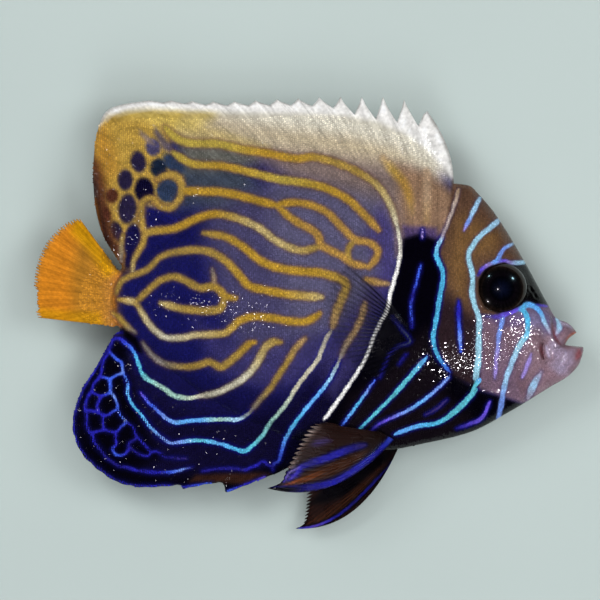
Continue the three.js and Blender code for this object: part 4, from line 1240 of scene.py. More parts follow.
def new_object(name: str, data: bpy.types.ID) -> bpy.types.Object:
    """Adds a new object to the scene.

    Args:
        name: Its name.
        data: The mesh, light or camera that it holds.

    Returns:
        The object.
    """
    piece = bpy.data.objects.new(name, data)
    bpy.context.scene.collection.objects.link(piece)
    return piece


def to_mesh(name: str, shape: bmesh.types.BMesh) -> bpy.types.Mesh:
    """Turns a bmesh into a mesh with smooth faces and frees it.

    Args:
        name: The mesh's name.
        shape: The bmesh.

    Returns:
        The mesh.
    """
    mesh = bpy.data.meshes.new(name)
    for face in shape.faces:
        face.smooth = True
    shape.to_mesh(mesh)
    shape.free()
    return mesh


def combined(base: bmesh.types.BMesh, others: list[bmesh.types.BMesh],
             operation: str) -> bmesh.types.BMesh:
    """Joins closed shells into one, or cuts shells out of one.

    Args:
        base: The shell that is added to or cut.
        others: The shells that join it or cut it.
        operation: UNION or DIFFERENCE.

    Returns:
        The new shell.
    """
    body = new_object("work", to_mesh("work", base))
    tools = [new_object("tool", to_mesh("tool", other)) for other in others]
    for tool in tools:
        modifier = body.modifiers.new("join", "BOOLEAN")
        modifier.operation = operation
        modifier.solver = "MANIFOLD"
        modifier.object = tool
    result = bmesh.new()
    result.from_object(body, bpy.context.evaluated_depsgraph_get())
    for used in (body, *tools):
        bpy.data.objects.remove(used)
    return result


def vector_attribute(mesh: bpy.types.Mesh, name: str, shades: Array) -> None:
    """Stores a colour for every vertex, as amounts of light.

    Args:
        mesh: The mesh.
        name: The attribute's name.
        shades: The colours as a screen shows them, one row each.
    """
    light = np.ones((len(shades), 4), np.float32)
    light[:, :3] = to_light(shades)
    mesh.attributes.new(name, "FLOAT_COLOR", "POINT").data.foreach_set("color", light.ravel())


def number_attribute(mesh: bpy.types.Mesh, name: str, values: Array) -> None:
    """Stores a number for every vertex."""
    mesh.attributes.new(name, "FLOAT", "POINT").data.foreach_set("value", values.astype(np.float32))


def dress(mesh: bpy.types.Mesh, paint: Paint, gleam: Array) -> None:
    """Stores on a mesh what its finish reads.

    Args:
        mesh: The mesh.
        paint: The colours of each vertex.
        gleam: How brightly the scale round each vertex gleams, from 0 to 1.
    """
    vector_attribute(mesh, "under", paint.under)
    vector_attribute(mesh, "mark", paint.mark)
    number_attribute(mesh, "level", paint.level)
    number_attribute(mesh, "gleam", gleam)


class Nodes:
    """Builds one procedural material, node by node."""

    def __init__(self, name: str) -> None:
        """Starts a material with only its shader and its output.

        Args:
            name: Its name.
        """
        self.material = bpy.data.materials.new(name)
        self.material.use_nodes = True
        self.tree = self.material.node_tree
        self.tree.nodes.clear()
        self.shader = self.add("ShaderNodeBsdfPrincipled")
        output = self.add("ShaderNodeOutputMaterial")
        self.tree.links.new(self.shader.outputs[0], output.inputs["Surface"])

    def add(self, kind: str, inputs: dict | None = None, **settings) -> bpy.types.Node:
        """Adds a node.

        Args:
            kind: The node's type.
            inputs: Values or outputs of other nodes for its sockets, by name or number.
            **settings: Properties of the node.

        Returns:
            The new node.
        """
        node = self.tree.nodes.new(kind)
        for key, value in settings.items():
            setattr(node, key, value)
        for key, value in (inputs or {}).items():
            self.feed(node, key, value)
        return node

    def feed(self, node: bpy.types.Node, key: str | int, value: object) -> None:
        """Sets a socket to a value, or links another node's output to it.

        Args:
            node: The node.
            key: The socket's name or number.
            value: The value or the output.
        """
        if isinstance(value, bpy.types.NodeSocket):
            self.tree.links.new(value, node.inputs[key])
        else:
            node.inputs[key].default_value = value

    def attribute(self, name: str) -> bpy.types.Node:
        """Adds a node that reads an attribute of the mesh."""
        return self.add("ShaderNodeAttribute", attribute_name=name)

    def place(self) -> bpy.types.NodeSocket:
        """Returns the object's own coordinates."""
        return self.add("ShaderNodeTexCoord").outputs["Object"]

    def vector(self, how: str, first: object, second: object = (0, 0, 0)) -> bpy.types.Node:
        """Adds an operation on one or two vectors."""
        return self.add("ShaderNodeVectorMath", {0: first, 1: second}, operation=how)

    def noise(self, scale: float, detail: float = 2.0, place: object = None) -> bpy.types.NodeSocket:
        """Adds noise.

        Args:
            scale: Its patches for each metre.
            detail: How many finer layers lie over the first.
            place: Where it is read, the object's own coordinates where this is left out.

        Returns:
            The noise, from 0 to 1.
        """
        vector = self.place() if place is None else place
        node = self.add("ShaderNodeTexNoise", {"Vector": vector, "Scale": scale, "Detail": detail})
        return node.outputs["Fac"]

    def spread(self, value: object, low: float, high: float, start: float = 0.0, end: float = 1.0,
               smooth: bool = False) -> bpy.types.NodeSocket:
        """Maps a value to another range, held level past the ends.

        Args:
            value: The value.
            low: Result at the start.
            high: Result at the end.
            start: Value at the start.
            end: Value at the end.
            smooth: Whether the result starts and ends gently.

        Returns:
            The result.
        """
        kind = "SMOOTHSTEP" if smooth else "LINEAR"
        node = self.add("ShaderNodeMapRange", {"Value": value, "From Min": start, "From Max": end,
                                               "To Min": low, "To Max": high}, interpolation_type=kind)
        return node.outputs[0]

    def mix(self, share: object, first: object, second: object, how: str = "MIX") -> bpy.types.NodeSocket:
        """Mixes two colours.

        Args:
            share: How much of the second colour comes in.
            first: The first colour.
            second: The second colour.
            how: The way of mixing.

        Returns:
            The mixed colour.
        """
        node = self.add("ShaderNodeMix", data_type="RGBA", blend_type=how)
        for key, value in ((0, share), (6, first), (7, second)):
            self.feed(node, key, value)
        return node.outputs[2]

    def shaded(self, colour: object, share: object) -> bpy.types.NodeSocket:
        """Multiplies a colour by a number."""
        grey = self.add("ShaderNodeCombineColor", {"Red": share, "Green": share, "Blue": share})
        return self.mix(1.0, colour, grey.outputs[0], "MULTIPLY")

    def ramp(self, share: object, stops: tuple[tuple[float, Array], ...]) -> bpy.types.NodeSocket:
        """Gives each share a colour between those of its two nearest stops.

        Args:
            share: From 0 to 1.
            stops: The share at each stop, and its colour from 0 to 1, as a screen shows it.

        Returns:
            The colour.
        """
        node = self.add("ShaderNodeValToRGB", {"Fac": share})
        while len(node.color_ramp.elements) < len(stops):
            node.color_ramp.elements.new(0.5)
        for element, (position, shade) in zip(node.color_ramp.elements, stops):
            element.position = position
            element.color = (*to_light(shade), 1)
        return node.outputs[0]

    def bump(self, height: object, depth: float, strength: float) -> bpy.types.NodeSocket:
        """Adds a bump of a given depth in metres."""
        node = self.add("ShaderNodeBump", {"Height": height, "Distance": depth, "Strength": strength})
        return node.outputs["Normal"]

    def finish(self, **sockets: object) -> bpy.types.Material:
        """Sets the shader's sockets, spaces in their names given as underscores."""
        for key, value in sockets.items():
            self.feed(self.shader, key.replace("_", " "), value)
        return self.material


@dataclass(frozen=True)
class CoatFinish:
    """Wet skin or scales that read their markings from the mesh."""

    name: str
    roughness: tuple[float, float] = (0.22, 0.34)
    grain: float = 1500.0  # patches of colour cells for each metre
    bump: float = 0.00003
    coat: float = 0.15
    depth: float = 1.0  # share of the light that the colour gives back
    contrast: float = 0.16  # between brighter and darker cells
    sparkle: float = 0.1  # how much smoother the gleaming scales are

    def material(self) -> bpy.types.Material:
        """Returns the finish as a material."""
        nodes = Nodes(self.name)
        level = nodes.attribute("level").outputs["Fac"]
        painted = nodes.spread(level, 0, 1, -1, 1, smooth=True)
        colour = nodes.mix(painted, nodes.attribute("under").outputs["Color"],
                           nodes.attribute("mark").outputs["Color"])
        cells = nodes.noise(self.grain, 2.5)
        shade = nodes.spread(cells, (1 - self.contrast) * self.depth,
                             (1 + self.contrast) * self.depth, 0.25, 0.75)
        gleam = nodes.attribute("gleam").outputs["Fac"]
        rough = nodes.spread(nodes.noise(260.0, 3.0), *self.roughness, 0.3, 0.7)
        rough = nodes.add("ShaderNodeMath", {0: rough, 1: nodes.spread(gleam, 0, self.sparkle)},
                          operation="SUBTRACT").outputs[0]
        return nodes.finish(
            Base_Color=nodes.shaded(colour, shade), Roughness=rough, IOR=1.38, Specular_IOR_Level=0.4,
            Coat_Weight=self.coat, Coat_Roughness=0.16, Normal=nodes.bump(cells, self.bump, 0.6))


@dataclass(frozen=True)
class EyeFinish:
    """A dark glossy eye: black pupil with a painted bluish reflection at its middle, near black iris with
    faint streaks, brown outer ring.
    """

    side: Side
    centre: tuple[float, float, float]
    radius: float
    # The bluish colour at the middle of the pupil is a painted reflection
    rings: tuple[tuple[float, tuple[int, int, int]], ...] = (
        (0.0, (6, 9, 26)), (0.3, (2, 3, 10)), (0.44, (1, 1, 3)), (0.5, (5, 3, 6)), (0.7, (5, 4, 5)),
        (0.8, (15, 10, 8)), (0.85, (26, 18, 14)), (1.0, (4, 3, 4)))
    streak_scale: tuple[float, float, float] = (9, 260, 1)  # round the eye, and out from its middle

    def material(self) -> bpy.types.Material:
        """Returns the finish as a material."""
        nodes = Nodes(f"eye_{self.side.word}_glass")
        local = nodes.vector("SUBTRACT", nodes.place(), tuple(c * MM for c in self.centre)).outputs[0]
        flat = nodes.vector("MULTIPLY", local, (1, 1, 0)).outputs[0]
        away = nodes.vector("LENGTH", flat).outputs["Value"]
        axes = nodes.add("ShaderNodeSeparateXYZ", {0: local})
        turn = nodes.add("ShaderNodeMath", {0: axes.outputs[1], 1: axes.outputs[0]}, operation="ARCTAN2")
        polar = nodes.add("ShaderNodeCombineXYZ", {0: turn.outputs[0], 1: away}).outputs[0]
        streaks = nodes.noise(1.0, 4.0, nodes.vector("MULTIPLY", polar, self.streak_scale).outputs[0])
        share = nodes.spread(away, 0, 1, 0, self.radius * MM)
        colour = nodes.ramp(share, tuple((place, np.array(tone) / 255) for place, tone in self.rings))
        return nodes.finish(
            Base_Color=nodes.shaded(colour, nodes.spread(streaks, 0.4, 1.9, 0.3, 0.7)), Roughness=0.2,
            Specular_IOR_Level=0.1, Coat_Weight=0.8, Coat_IOR=1.32, Coat_Roughness=0.02)


@dataclass(frozen=True)
class SpineFinish:
    """Smooth turquoise horn, darker blue at its root."""

    root: tuple[float, float]
    length: float

    def material(self) -> bpy.types.Material:
        """Returns the finish as a material."""
        nodes = Nodes("cheek_spine_horn")
        start = (self.root[0] * MM, self.root[1] * MM, 0)
        flat = nodes.vector("MULTIPLY", nodes.place(), (1, 1, 0)).outputs[0]
        away = nodes.vector("DISTANCE", flat, start).outputs["Value"]
        share = nodes.spread(away, 0, 1, 0, self.length * MM)
        colour = nodes.ramp(share, ((0.05, Tone.LIGHT_BLUE.shade), (0.35, Tone.TURQUOISE.shade)))
        cells = nodes.noise(1400.0)
        return nodes.finish(
            Base_Color=nodes.shaded(colour, nodes.spread(cells, 0.8, 1.15, 0.3, 0.7)), Roughness=0.25,
            Coat_Weight=0.4, Coat_Roughness=0.1, Normal=nodes.bump(cells, 0.00002, 0.5))


@dataclass(frozen=True)
class ClearFinFinish:
    """Clear wet membrane, seen mostly by the thin dark rays in it."""

    name: str
    membrane_opacity: float = 0.03
    ray_opacity: float = 0.6

    def material(self) -> bpy.types.Material:
        """Returns the finish as a material."""
        nodes = Nodes(self.name)
        ray = nodes.attribute("ray").outputs["Fac"]
        cells = nodes.noise(900.0, 3.0)
        colour = nodes.mix(ray, (*to_light(Tone.MEMBRANE_GREY.shade), 1),
                           (*to_light(Tone.BLACK.shade), 1))
        opacity = nodes.spread(ray, self.membrane_opacity, self.ray_opacity)
        rough = nodes.spread(cells, 0.1, 0.3, 0.3, 0.7)
        return nodes.finish(Base_Color=colour, Alpha=opacity, Roughness=rough, Specular_IOR_Level=0.2,
                            Normal=nodes.bump(cells, 0.00004, 0.5))


def place_piece(mesh: bpy.types.Mesh, material: bpy.types.Material, slot: str,
                *nodes: str) -> bpy.types.Object:
    """Makes a piece of a mesh, fixes it to the fish and hides the solids that it stands for.

    Args:
        mesh: The mesh in metres, under the piece's name.
        material: Its finish.
        slot: Not used.
        *nodes: The solids that it stands for.

    Returns:
        The piece.
    """
    piece = new_object(mesh.name, mesh)
    mesh.materials.append(material)
    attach(piece, "root")
    if nodes:
        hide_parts(*nodes)
    triangles = sum(len(face.vertices) - 2 for face in piece.data.polygons)
    log.info("%s: %d triangles", piece.name, triangles)
    return piece


@dataclass
class Skin:
    """One closed skin over the flesh and the upright fins, with its mouth open."""

    stations: int = 232
    around: int = 130
    station_shares: tuple[float, ...] = (0.0, 0.015, 0.5, 0.97, 1.0)
    station_places: tuple[float, ...] = (-45.36, -44.7, 29.0, 62.7, 63.26)
    mouth_around: int = 60
    mouth_layers: int = 22
    mouth_half: float = 5.0
    lip_flare: float = 0.75
    lip_half: float = 2.7
    lip_reach: float = 0.7  # of the rounding beside the mouth
    lip_rounds: int = 4
    crease_reach: float = 2.6  # of the rounding beside the body's outline
    crease_half: float = 3.2  # half of the thickness that it takes in
    crease_rounds: int = 5
    mouth: Points = path("58.9,-7.1 59.8,-5.6 61.6,-4.3 66,-3.4 66,-7.6 62.5,-7.5")

    def body_place(self, u: Array, v: Array) -> tuple[Array, Array, Array]:
        """Places the skin of the body for the shell maker.

        Args:
            u: Share of the way across.
            v: Share of the way along.

        Returns:
            x, y and half of the thickness at each place.
        """
        x = np.interp(u, self.station_shares, self.station_places)
        across = np.sin(np.pi / 2 * (2 * v - 1))
        centre, half = BODY.outline(x, COAT)
        y = centre + half * across
        thick = BODY.half_thickness(x, y, COAT)
        ends = np.minimum(u, 1 - u) > 1e-6
        edge = np.abs(2 * v - 1) < 1 - 1e-6
        thick = np.where(ends & edge, np.maximum(thick, 0.01), 0)
        return x, y, thick + RELIEF.height(x, y) * ease(thick, 0.3, 1.8)

    def mouth_tool(self) -> bmesh.types.BMesh:
        """Makes the closed wedge that opens the mouth, wider at its sides so that the lips come out round."""
        tool = bmesh.new()
        bmesh.ops.create_grid(tool, x_segments=self.mouth_around, y_segments=self.mouth_layers, size=0.5)
        u, v = coordinates(tool)[:, :2].T + 0.5
        ring = np.array((*self.mouth, self.mouth[0]), float)
        run = np.concatenate([[0], np.cumsum(np.hypot(*np.diff(ring, axis=0).T))])
        share = np.where(u > 1 - 1e-6, 0, u) * run[-1]
        spot = np.stack([np.interp(share, run, axis) for axis in ring.T], 1)
        middle = ring[:-1].mean(0)
        z = (2 * v - 1) * self.mouth_half
        flare = 1 + self.lip_flare / 3 * np.minimum(np.abs(z) / self.lip_half, 1.6) ** 3
        spot = middle + (spot - middle) * flare[:, None]
        move(tool, np.column_stack([spot, z]))
        bmesh.ops.remove_doubles(tool, verts=tool.verts, dist=1e-4)
        rims = [edge for edge in tool.edges if edge.is_boundary]
        bmesh.ops.holes_fill(tool, edges=rims, sides=0)
        bmesh.ops.recalc_face_normals(tool, faces=tool.faces)
        return tool

    def soften(self, shape: bmesh.types.BMesh) -> None:
        """Rounds the lips, and the creases where the fins grow out of the body.

        Args:
            shape: The whole skin in millimetres, its mouth open.
        """
        places = coordinates(shape)
        x, y, z = places.T
        back, belly, reach = BODY.back(x), BODY.belly(x), self.crease_reach
        depth = np.minimum(np.abs(y - back), np.abs(y - belly))
        fin = (x < 33) & ((y > back - reach) | ((y < belly + reach) & (x < 0)))
        crease = fin & (depth < reach) & (np.abs(z) < self.crease_half)
        stalk = (x < -41) & (x > -48) & (y > -4.5) & (y < 12)
        away = line_distance(places[:, :2], np.array(RELIEF.lips))[0]
        lips = (away < self.lip_reach) & (x > 58) & (np.abs(z) < 4)
        verts = list(shape.verts)
        for chosen, rounds in ((crease | stalk, self.crease_rounds), (lips, self.lip_rounds)):
            group = [verts[i] for i in np.flatnonzero(chosen)]
            for _ in range(rounds):
                bmesh.ops.smooth_vert(shape, verts=group, factor=0.5,
                                      use_axis_x=True, use_axis_y=True, use_axis_z=True)

    def build(self) -> bpy.types.Object:
        """Makes the skin, paints it and fixes it to the fish."""
        body = leaf(self.stations, self.around, self.body_place)
        fins = [DorsalFin().build(), anal_fin().build(), tail_fin().build()]
        whole = combined(body, fins, "UNION")
        whole = combined(whole, [self.mouth_tool()], "DIFFERENCE")
        self.soften(whole)
        places = coordinates(whole) + (0, 0, MIDPLANE)
        places = rest_on_floor(places, FLOOR_GAP)
        move(whole, places * MM)
        mesh = to_mesh("skin", whole)
        dress(mesh, COAT_PATTERN.paint(places[:, :2]), np.zeros(len(places)))
        return place_piece(
            mesh, CoatFinish("wet_skin", depth=0.72).material(), "skin", "head", "upper_jaw", "lower_jaw",
            "gill_cover_right", "gill_cover_left", "trunk", "tail_stalk", "dorsal_fin_spines",
            "dorsal_fin_rays", "anal_fin", "tail_fin")


@dataclass
class Scales:
    """All scales of the right flank: corners, lengths along the section from the belly, and looks."""

    corners: Array
    lengths: Array
    paint: Paint
    gleam: Array


@dataclass
class ScaleCoat:
    """Overlapping scales over the skin, smallest on the face, none on lips, eyes and fin margins."""

    skin: bpy.types.Object
    flank_pitch: float = 0.56
    head_pitch: float = 0.42
    muzzle_pitch: float = 0.34
    head_from: tuple[float, float] = (26, 37)  # x over which the pitch becomes that of the head
    muzzle_from: tuple[float, float] = (46, 54)
    fin_shrink: float = 0.22  # how much smaller the scales get on the fins
    walk: float = 0.25  # step along a section of the fish when its surface is measured
    jitter: float = 0.2
    tilt: float = 0.035  # how unevenly the scales lean
    variety: float = 0.05  # of the scales' sizes and brightness
    ends: tuple[float, float] = (-60.0, 62.5)  # x of the first section, and the end of the last
    ladder: tuple[float, float] = (-45.0, 51.0)  # lowest and highest y of a section
    row_step: float = 0.866  # from one section to the next, in parts of the pitch
    above: float = 0.05  # metres over the floor, from where the flank is felt
    piece_limit: int = 16000  # scales in one piece
    patch: float = 0.003  # size of one scale on the bake map
    eye_gap: float = 6.1  # from the eye's middle, without scales
    lip_gap: float = 1.5
    nostril_gap: float = 0.9
    bare_snout: float = 59.6  # x from which the snout is bare
    tail_reach: float = 9.5  # of the scales over the root of the tail fin
    margin_gap: float = 3.0  # along the back fin's margin
    seed: int = 11

    # One scale, in parts of its pitch: towards the tail, across, and out of the skin
    rim: tuple[tuple[float, float, float], ...] = (
        (-0.55, 0.0, -0.07), (-0.25, 0.46, -0.04), (0.40, 0.50, 0.025), (0.84, 0.0, 0.07),
        (0.40, -0.50, 0.025), (-0.25, -0.46, -0.04))
    crown: tuple[float, float, float] = (0.22, 0.0, 0.025)
    base: tuple[float, float, float] = (0.15, 0.0, -0.12)

    def pitch(self, x: Array, y: Array) -> Array:
        """Works out the distance between scales.

        Args:
            x: Places along the fish.
            y: Places up the fish.

        Returns:
            The distance at each place.
        """
        size = self.flank_pitch + (self.head_pitch - self.flank_pitch) * ease(x, *self.head_from)
        size = size + (self.muzzle_pitch - self.head_pitch) * ease(x, *self.muzzle_from)
        beyond = np.maximum(y - BODY.back(x), BODY.belly(x) - y)
        return size * (1 - self.fin_shrink * ease(beyond, 2, 14))

    def bare(self, x: Array, y: Array) -> Array:
        """Tells where no scales grow.

        Args:
            x: Places along the fish.
            y: Places up the fish.

        Returns:
            True on lips, eyes, nostrils and fin margins.
        """
        spots = np.stack([x, y], 1)
        eye = np.hypot(x - RELIEF.eye[0], y - RELIEF.eye[1]) < self.eye_gap
        lips = (line_distance(spots, np.array(RELIEF.lips))[0] < self.lip_gap) | (x > self.bare_snout)
        nose = np.min([np.hypot(x - a, y - b) for a, b in RELIEF.nostrils], axis=0) < self.nostril_gap
        tail = (x < -47.5) & (y > -6) & (y < 24) & (np.hypot(x + 43, y - 3.5) > self.tail_reach)
        dorsal = self.dorsal_margin_gap(x, y) < self.margin_gap
        return eye | lips | nose | tail | dorsal

    def dorsal_margin_gap(self, x: Array, y: Array) -> Array:
        """Measures up to the back fin's margin.

        Args:
            x: Places along the fish.
            y: Places up the fish.

        Returns:
            The height of the margin over each place, large on the body.
        """
        fin = DorsalFin()
        front = np.interp(x, (26.8, 33.3), (45.0, 31.5))
        top = np.where(x > 26.8, front, fin.margin(x) - 1.2 - 4.2 * ease(x, 4, 20))
        return np.where(y > BODY.back(x) + 1, top - y, 99.0)

    def lie(self, x: Array, y: Array) -> Array:
        """Works out in which direction the scales point.

        Args:
            x: Places along the fish.
            y: Places up the fish.

        Returns:
            The direction at each place, in the plane of the side outline.
        """
        centre, half = BODY.outline(x)
        step = 0.5
        next_centre, next_half = BODY.outline(x - step)
        t = np.clip((y - centre) / half, -1, 1)
        flow = np.stack([np.full_like(x, -step), next_centre + t * next_half - centre - t * half], 1)
        flow /= np.hypot(*flow.T)[:, None]
        # Over the back and under the belly the scales follow the fin rays, on the tail they fan out
        up = np.radians(np.interp(x, (-50, -20, 33), (168, 138, 108)))
        down = np.radians(np.interp(x, (-54, -40, -20, 0), (-178, -152, -130, -112)))
        fan = np.arctan2(y - 3.5, x + 38)
        above = ease(y - BODY.back(x), -1.0, 4.0)[:, None]
        below = (ease(BODY.belly(x) - y, -1.0, 4.0) * (x < 2))[:, None]
        tail = (ease(-x, 44, 47) * (y > -4) * (y < 12))[:, None]
        for share, angle in ((above, up), (below, down), (tail, fan)):
            flow = flow * (1 - share) + np.stack([np.cos(angle), np.sin(angle)], 1) * share
        return flow / np.hypot(*flow.T)[:, None]

    def feel(self, surface: BVHTree, x: float, y: float) -> tuple[Vector | None, Vector | None]:
        """Finds the skin under x and y: the point in metres, and the skin's direction."""
        return surface.ray_cast(Vector((x * MM, y * MM, self.above)), Vector((0, 0, -1)))[:2]

    def section(self, surface: BVHTree, x: float, odd: bool) -> tuple[Array, Array]:
        """Spaces the scales along one section of the right flank.

        Args:
            surface: The skin.
            x: Where the section lies.
            odd: Whether its scales start half a pitch later, to lie between those of the last one.

        Returns:
            The y of each scale, and its length along the section from the belly.
        """
        ladder = np.arange(*self.ladder, self.walk)
        hits = [self.feel(surface, x, y)[0] for y in ladder]
        heights = np.array([hit.z / MM if hit and hit.z > MIDPLANE * MM else np.nan for hit in hits])
        rise = np.diff(heights)
        steps = np.where(np.isnan(rise), 0, np.hypot(self.walk, np.nan_to_num(rise)))
        middle = (ladder[1:] + ladder[:-1]) / 2
        pitch = self.pitch(np.full_like(middle, x), middle)
        count = np.concatenate([[0], np.cumsum(steps / pitch)])
        y = np.interp(np.arange(0.5 + 0.5 * odd, count[-1], 1.0), count, ladder)
        return y, np.interp(y, ladder, np.concatenate([[0], np.cumsum(steps)]))

    def roots(self) -> tuple[Array, Array, Array]:
        """Finds where the scales of the right flank grow, by walking each section of the skin.

        Returns:
            Each scale's place, the skin's direction there, and its length along the section from the belly.
        """
        surface = BVHTree.FromObject(self.skin, bpy.context.evaluated_depsgraph_get())
        spots, lengths = [], []
        (x, end), odd = self.ends, False
        while x < end:
            y, along = self.section(surface, x, odd)
            spots.append(np.stack([np.full_like(y, x), y], 1))
            lengths.append(along)
            x += self.row_step * float(self.pitch(np.array([x]), np.array([0.0]))[0])
            odd = not odd
        spots, lengths = np.concatenate(spots), np.concatenate(lengths)
        random = np.random.default_rng(self.seed)
        spots = spots + random.normal(0, self.jitter / 2, spots.shape) * self.pitch(*spots.T)[:, None]
        grows = ~self.bare(*spots.T)
        spots, lengths = spots[grows], lengths[grows]
        cast = [self.feel(surface, x, y) for x, y in spots]
        hit = np.array([bool(place) and place.z > (MIDPLANE + 0.02) * MM and normal.z > 0.12
                        for place, normal in cast])
        places = np.array([place / MM for (place, _), good in zip(cast, hit) if good])
        normals = np.array([normal for (_, normal), good in zip(cast, hit) if good])
        return places, normals, lengths[hit]

    def build(self) -> list[bpy.types.Object]:
        """Makes the scales of both flanks, in pieces of a limited size."""
        places, normals, lengths = self.roots()
        random = np.random.default_rng(self.seed + 1)
        normals = normals + random.normal(0, self.tilt, normals.shape)
        normals /= np.linalg.norm(normals, axis=1)[:, None]
        lie = np.column_stack([self.lie(*places[:, :2].T), np.zeros(len(places))])
        lie -= normals * (lie * normals).sum(1)[:, None]
        lie /= np.linalg.norm(lie, axis=1)[:, None]
        across = np.cross(normals, lie)
        size = self.pitch(*places[:, :2].T) * random.normal(1, self.variety, len(places))
        shape = np.array([*self.rim, self.crown, self.base])
        shape = shape[None] * size[:, None, None]
        shape[:, :, 2] *= (0.56 / np.maximum(size, 0.3))[:, None] ** 0.3
        offsets = shape[:, :, :1] * lie[:, None] + shape[:, :, 1:2] * across[:, None]
        offsets = offsets + shape[:, :, 2:] * normals[:, None]
        corners = places[:, None] + offsets
        tinted = (places[:, None, :2] + 0.6 * offsets[:, :, :2]).reshape(-1, 2)
        paint = COAT_PATTERN.paint(tinted)
        bright = np.repeat(random.normal(1, self.variety, len(places)), shape.shape[1])[:, None]
        paint.under = np.clip(paint.under * bright, 0, 1)
        paint.mark = np.clip(paint.mark * bright, 0, 1)
        gleam = np.repeat(random.random(len(places)) ** 4, shape.shape[1])
        scales = Scales(corners, lengths, paint, gleam)
        material = CoatFinish("wet_scales", roughness=(0.06, 0.12), bump=0.00001, coat=0).material()
        order = np.argsort(places[:, 0], kind="stable")
        parts = math.ceil(len(order) / self.piece_limit)
        pieces = []
        for side in Side:
            for number, chosen in enumerate(np.array_split(order, parts)):
                pieces.append(self.piece(side, number, chosen, scales, material))
        return pieces

    def piece(self, side: Side, number: int, chosen: Array, scales: Scales,
              material: bpy.types.Material) -> bpy.types.Object:
        """Joins some of the scales of one flank into a piece.

        Args:
            side: The flank that it lies on.
            number: Its number on that flank, from the tail.
            chosen: The numbers of its scales.
            scales: All scales.
            material: Their finish.

        Returns:
            The piece, dressed and fixed to the fish.
        """
        count, paint = scales.corners.shape[1], scales.paint
        rim = count - 2
        fan = [(rim, k, (k + 1) % rim) for k in range(rim)]
        under = [(rim + 1, (k + 1) % rim, k) for k in range(rim)]
        faces = np.array(fan + under)
        places = scales.corners[chosen].reshape(-1, 3)
        if side is Side.LEFT:
            faces = faces[:, ::-1]
            places[:, 2] = 2 * MIDPLANE - places[:, 2]
            places = rest_on_floor(places, SCALE_FLOOR)
        starts = np.arange(len(chosen)) * count
        every = (starts[:, None, None] + faces[None]).reshape(-1, 3)
        mesh = bpy.data.meshes.new(f"scales_{side.word}_{number}")
        mesh.from_pydata(places * MM, [], every)
        mesh.shade_smooth()
        mesh.set_sharp_from_angle(angle=math.radians(60))
        rows = (chosen[:, None] * count + np.arange(count)).ravel()
        dress(mesh, Paint(paint.under[rows], paint.mark[rows], paint.level[rows]), scales.gleam[rows])
        self.lay_out(mesh, chosen, scales, every)
        return place_piece(mesh, material, "skin")

    def lay_out(self, mesh: bpy.types.Mesh, chosen: Array, scales: Scales, every: Array) -> None:
        """Gives each scale a small patch of the bake map, at its root's place on the unrolled skin.

        Args:
            mesh: The joined scales.
            chosen: The numbers of the scales in it.
            scales: All scales.
            every: The corners of each face of the mesh.
        """
        roots = np.stack([scales.corners[chosen].mean(1)[:, 0], scales.lengths[chosen]], 1)
        low, high = roots.min(0), roots.max(0)
        roots = 0.01 + 0.98 * (roots - low) / (high - low)
        shape = np.array([*self.rim, self.crown, self.base])[:, :2]
        shape = (shape - shape.mean(0)) / np.ptp(shape, axis=0).max() * self.patch
        spread = (roots[:, None] + shape[None]).reshape(-1, 2)
        layer = mesh.uv_layers.new(name="OFBake")
        layer.data.foreach_set("uv", spread[every.ravel()].astype(np.float32).ravel())


@dataclass(frozen=True)
class Eye:
    """One eye, a flattened ball that stands a little out of its socket."""

    side: Side
    x: float = 44.0
    y: float = 5.8
    radius: float = 6.05
    bulge: float = 3.66
    depth: float = 2.1
    turn: float = 0.09
    lift: float = 0.05

    def build(self) -> bpy.types.Object:
        """Makes the eye and fixes it to the fish."""
        sign = self.side.value
        shape = bmesh.new()
        bmesh.ops.create_uvsphere(shape, u_segments=64, v_segments=40, radius=1)
        out = float(BODY.half_thickness(np.array([self.x]), np.array([self.y]))[0]) - self.depth
        centre = (self.x, self.y, MIDPLANE + sign * out)
        turned = Matrix.Rotation(-sign * self.lift, 4, "X") @ Matrix.Rotation(sign * self.turn, 4, "Y")
        size = Matrix.Diagonal((self.radius, self.radius, self.bulge, 1))
        place = Matrix.Scale(MM, 4) @ Matrix.Translation(centre) @ turned @ size
        bmesh.ops.transform(shape, matrix=place, verts=shape.verts)
        mesh = to_mesh(f"eye_ball_{self.side.word}", shape)
        material = EyeFinish(self.side, centre, self.radius).material()
        return place_piece(mesh, material, "eye", f"eye_{self.side.word}")


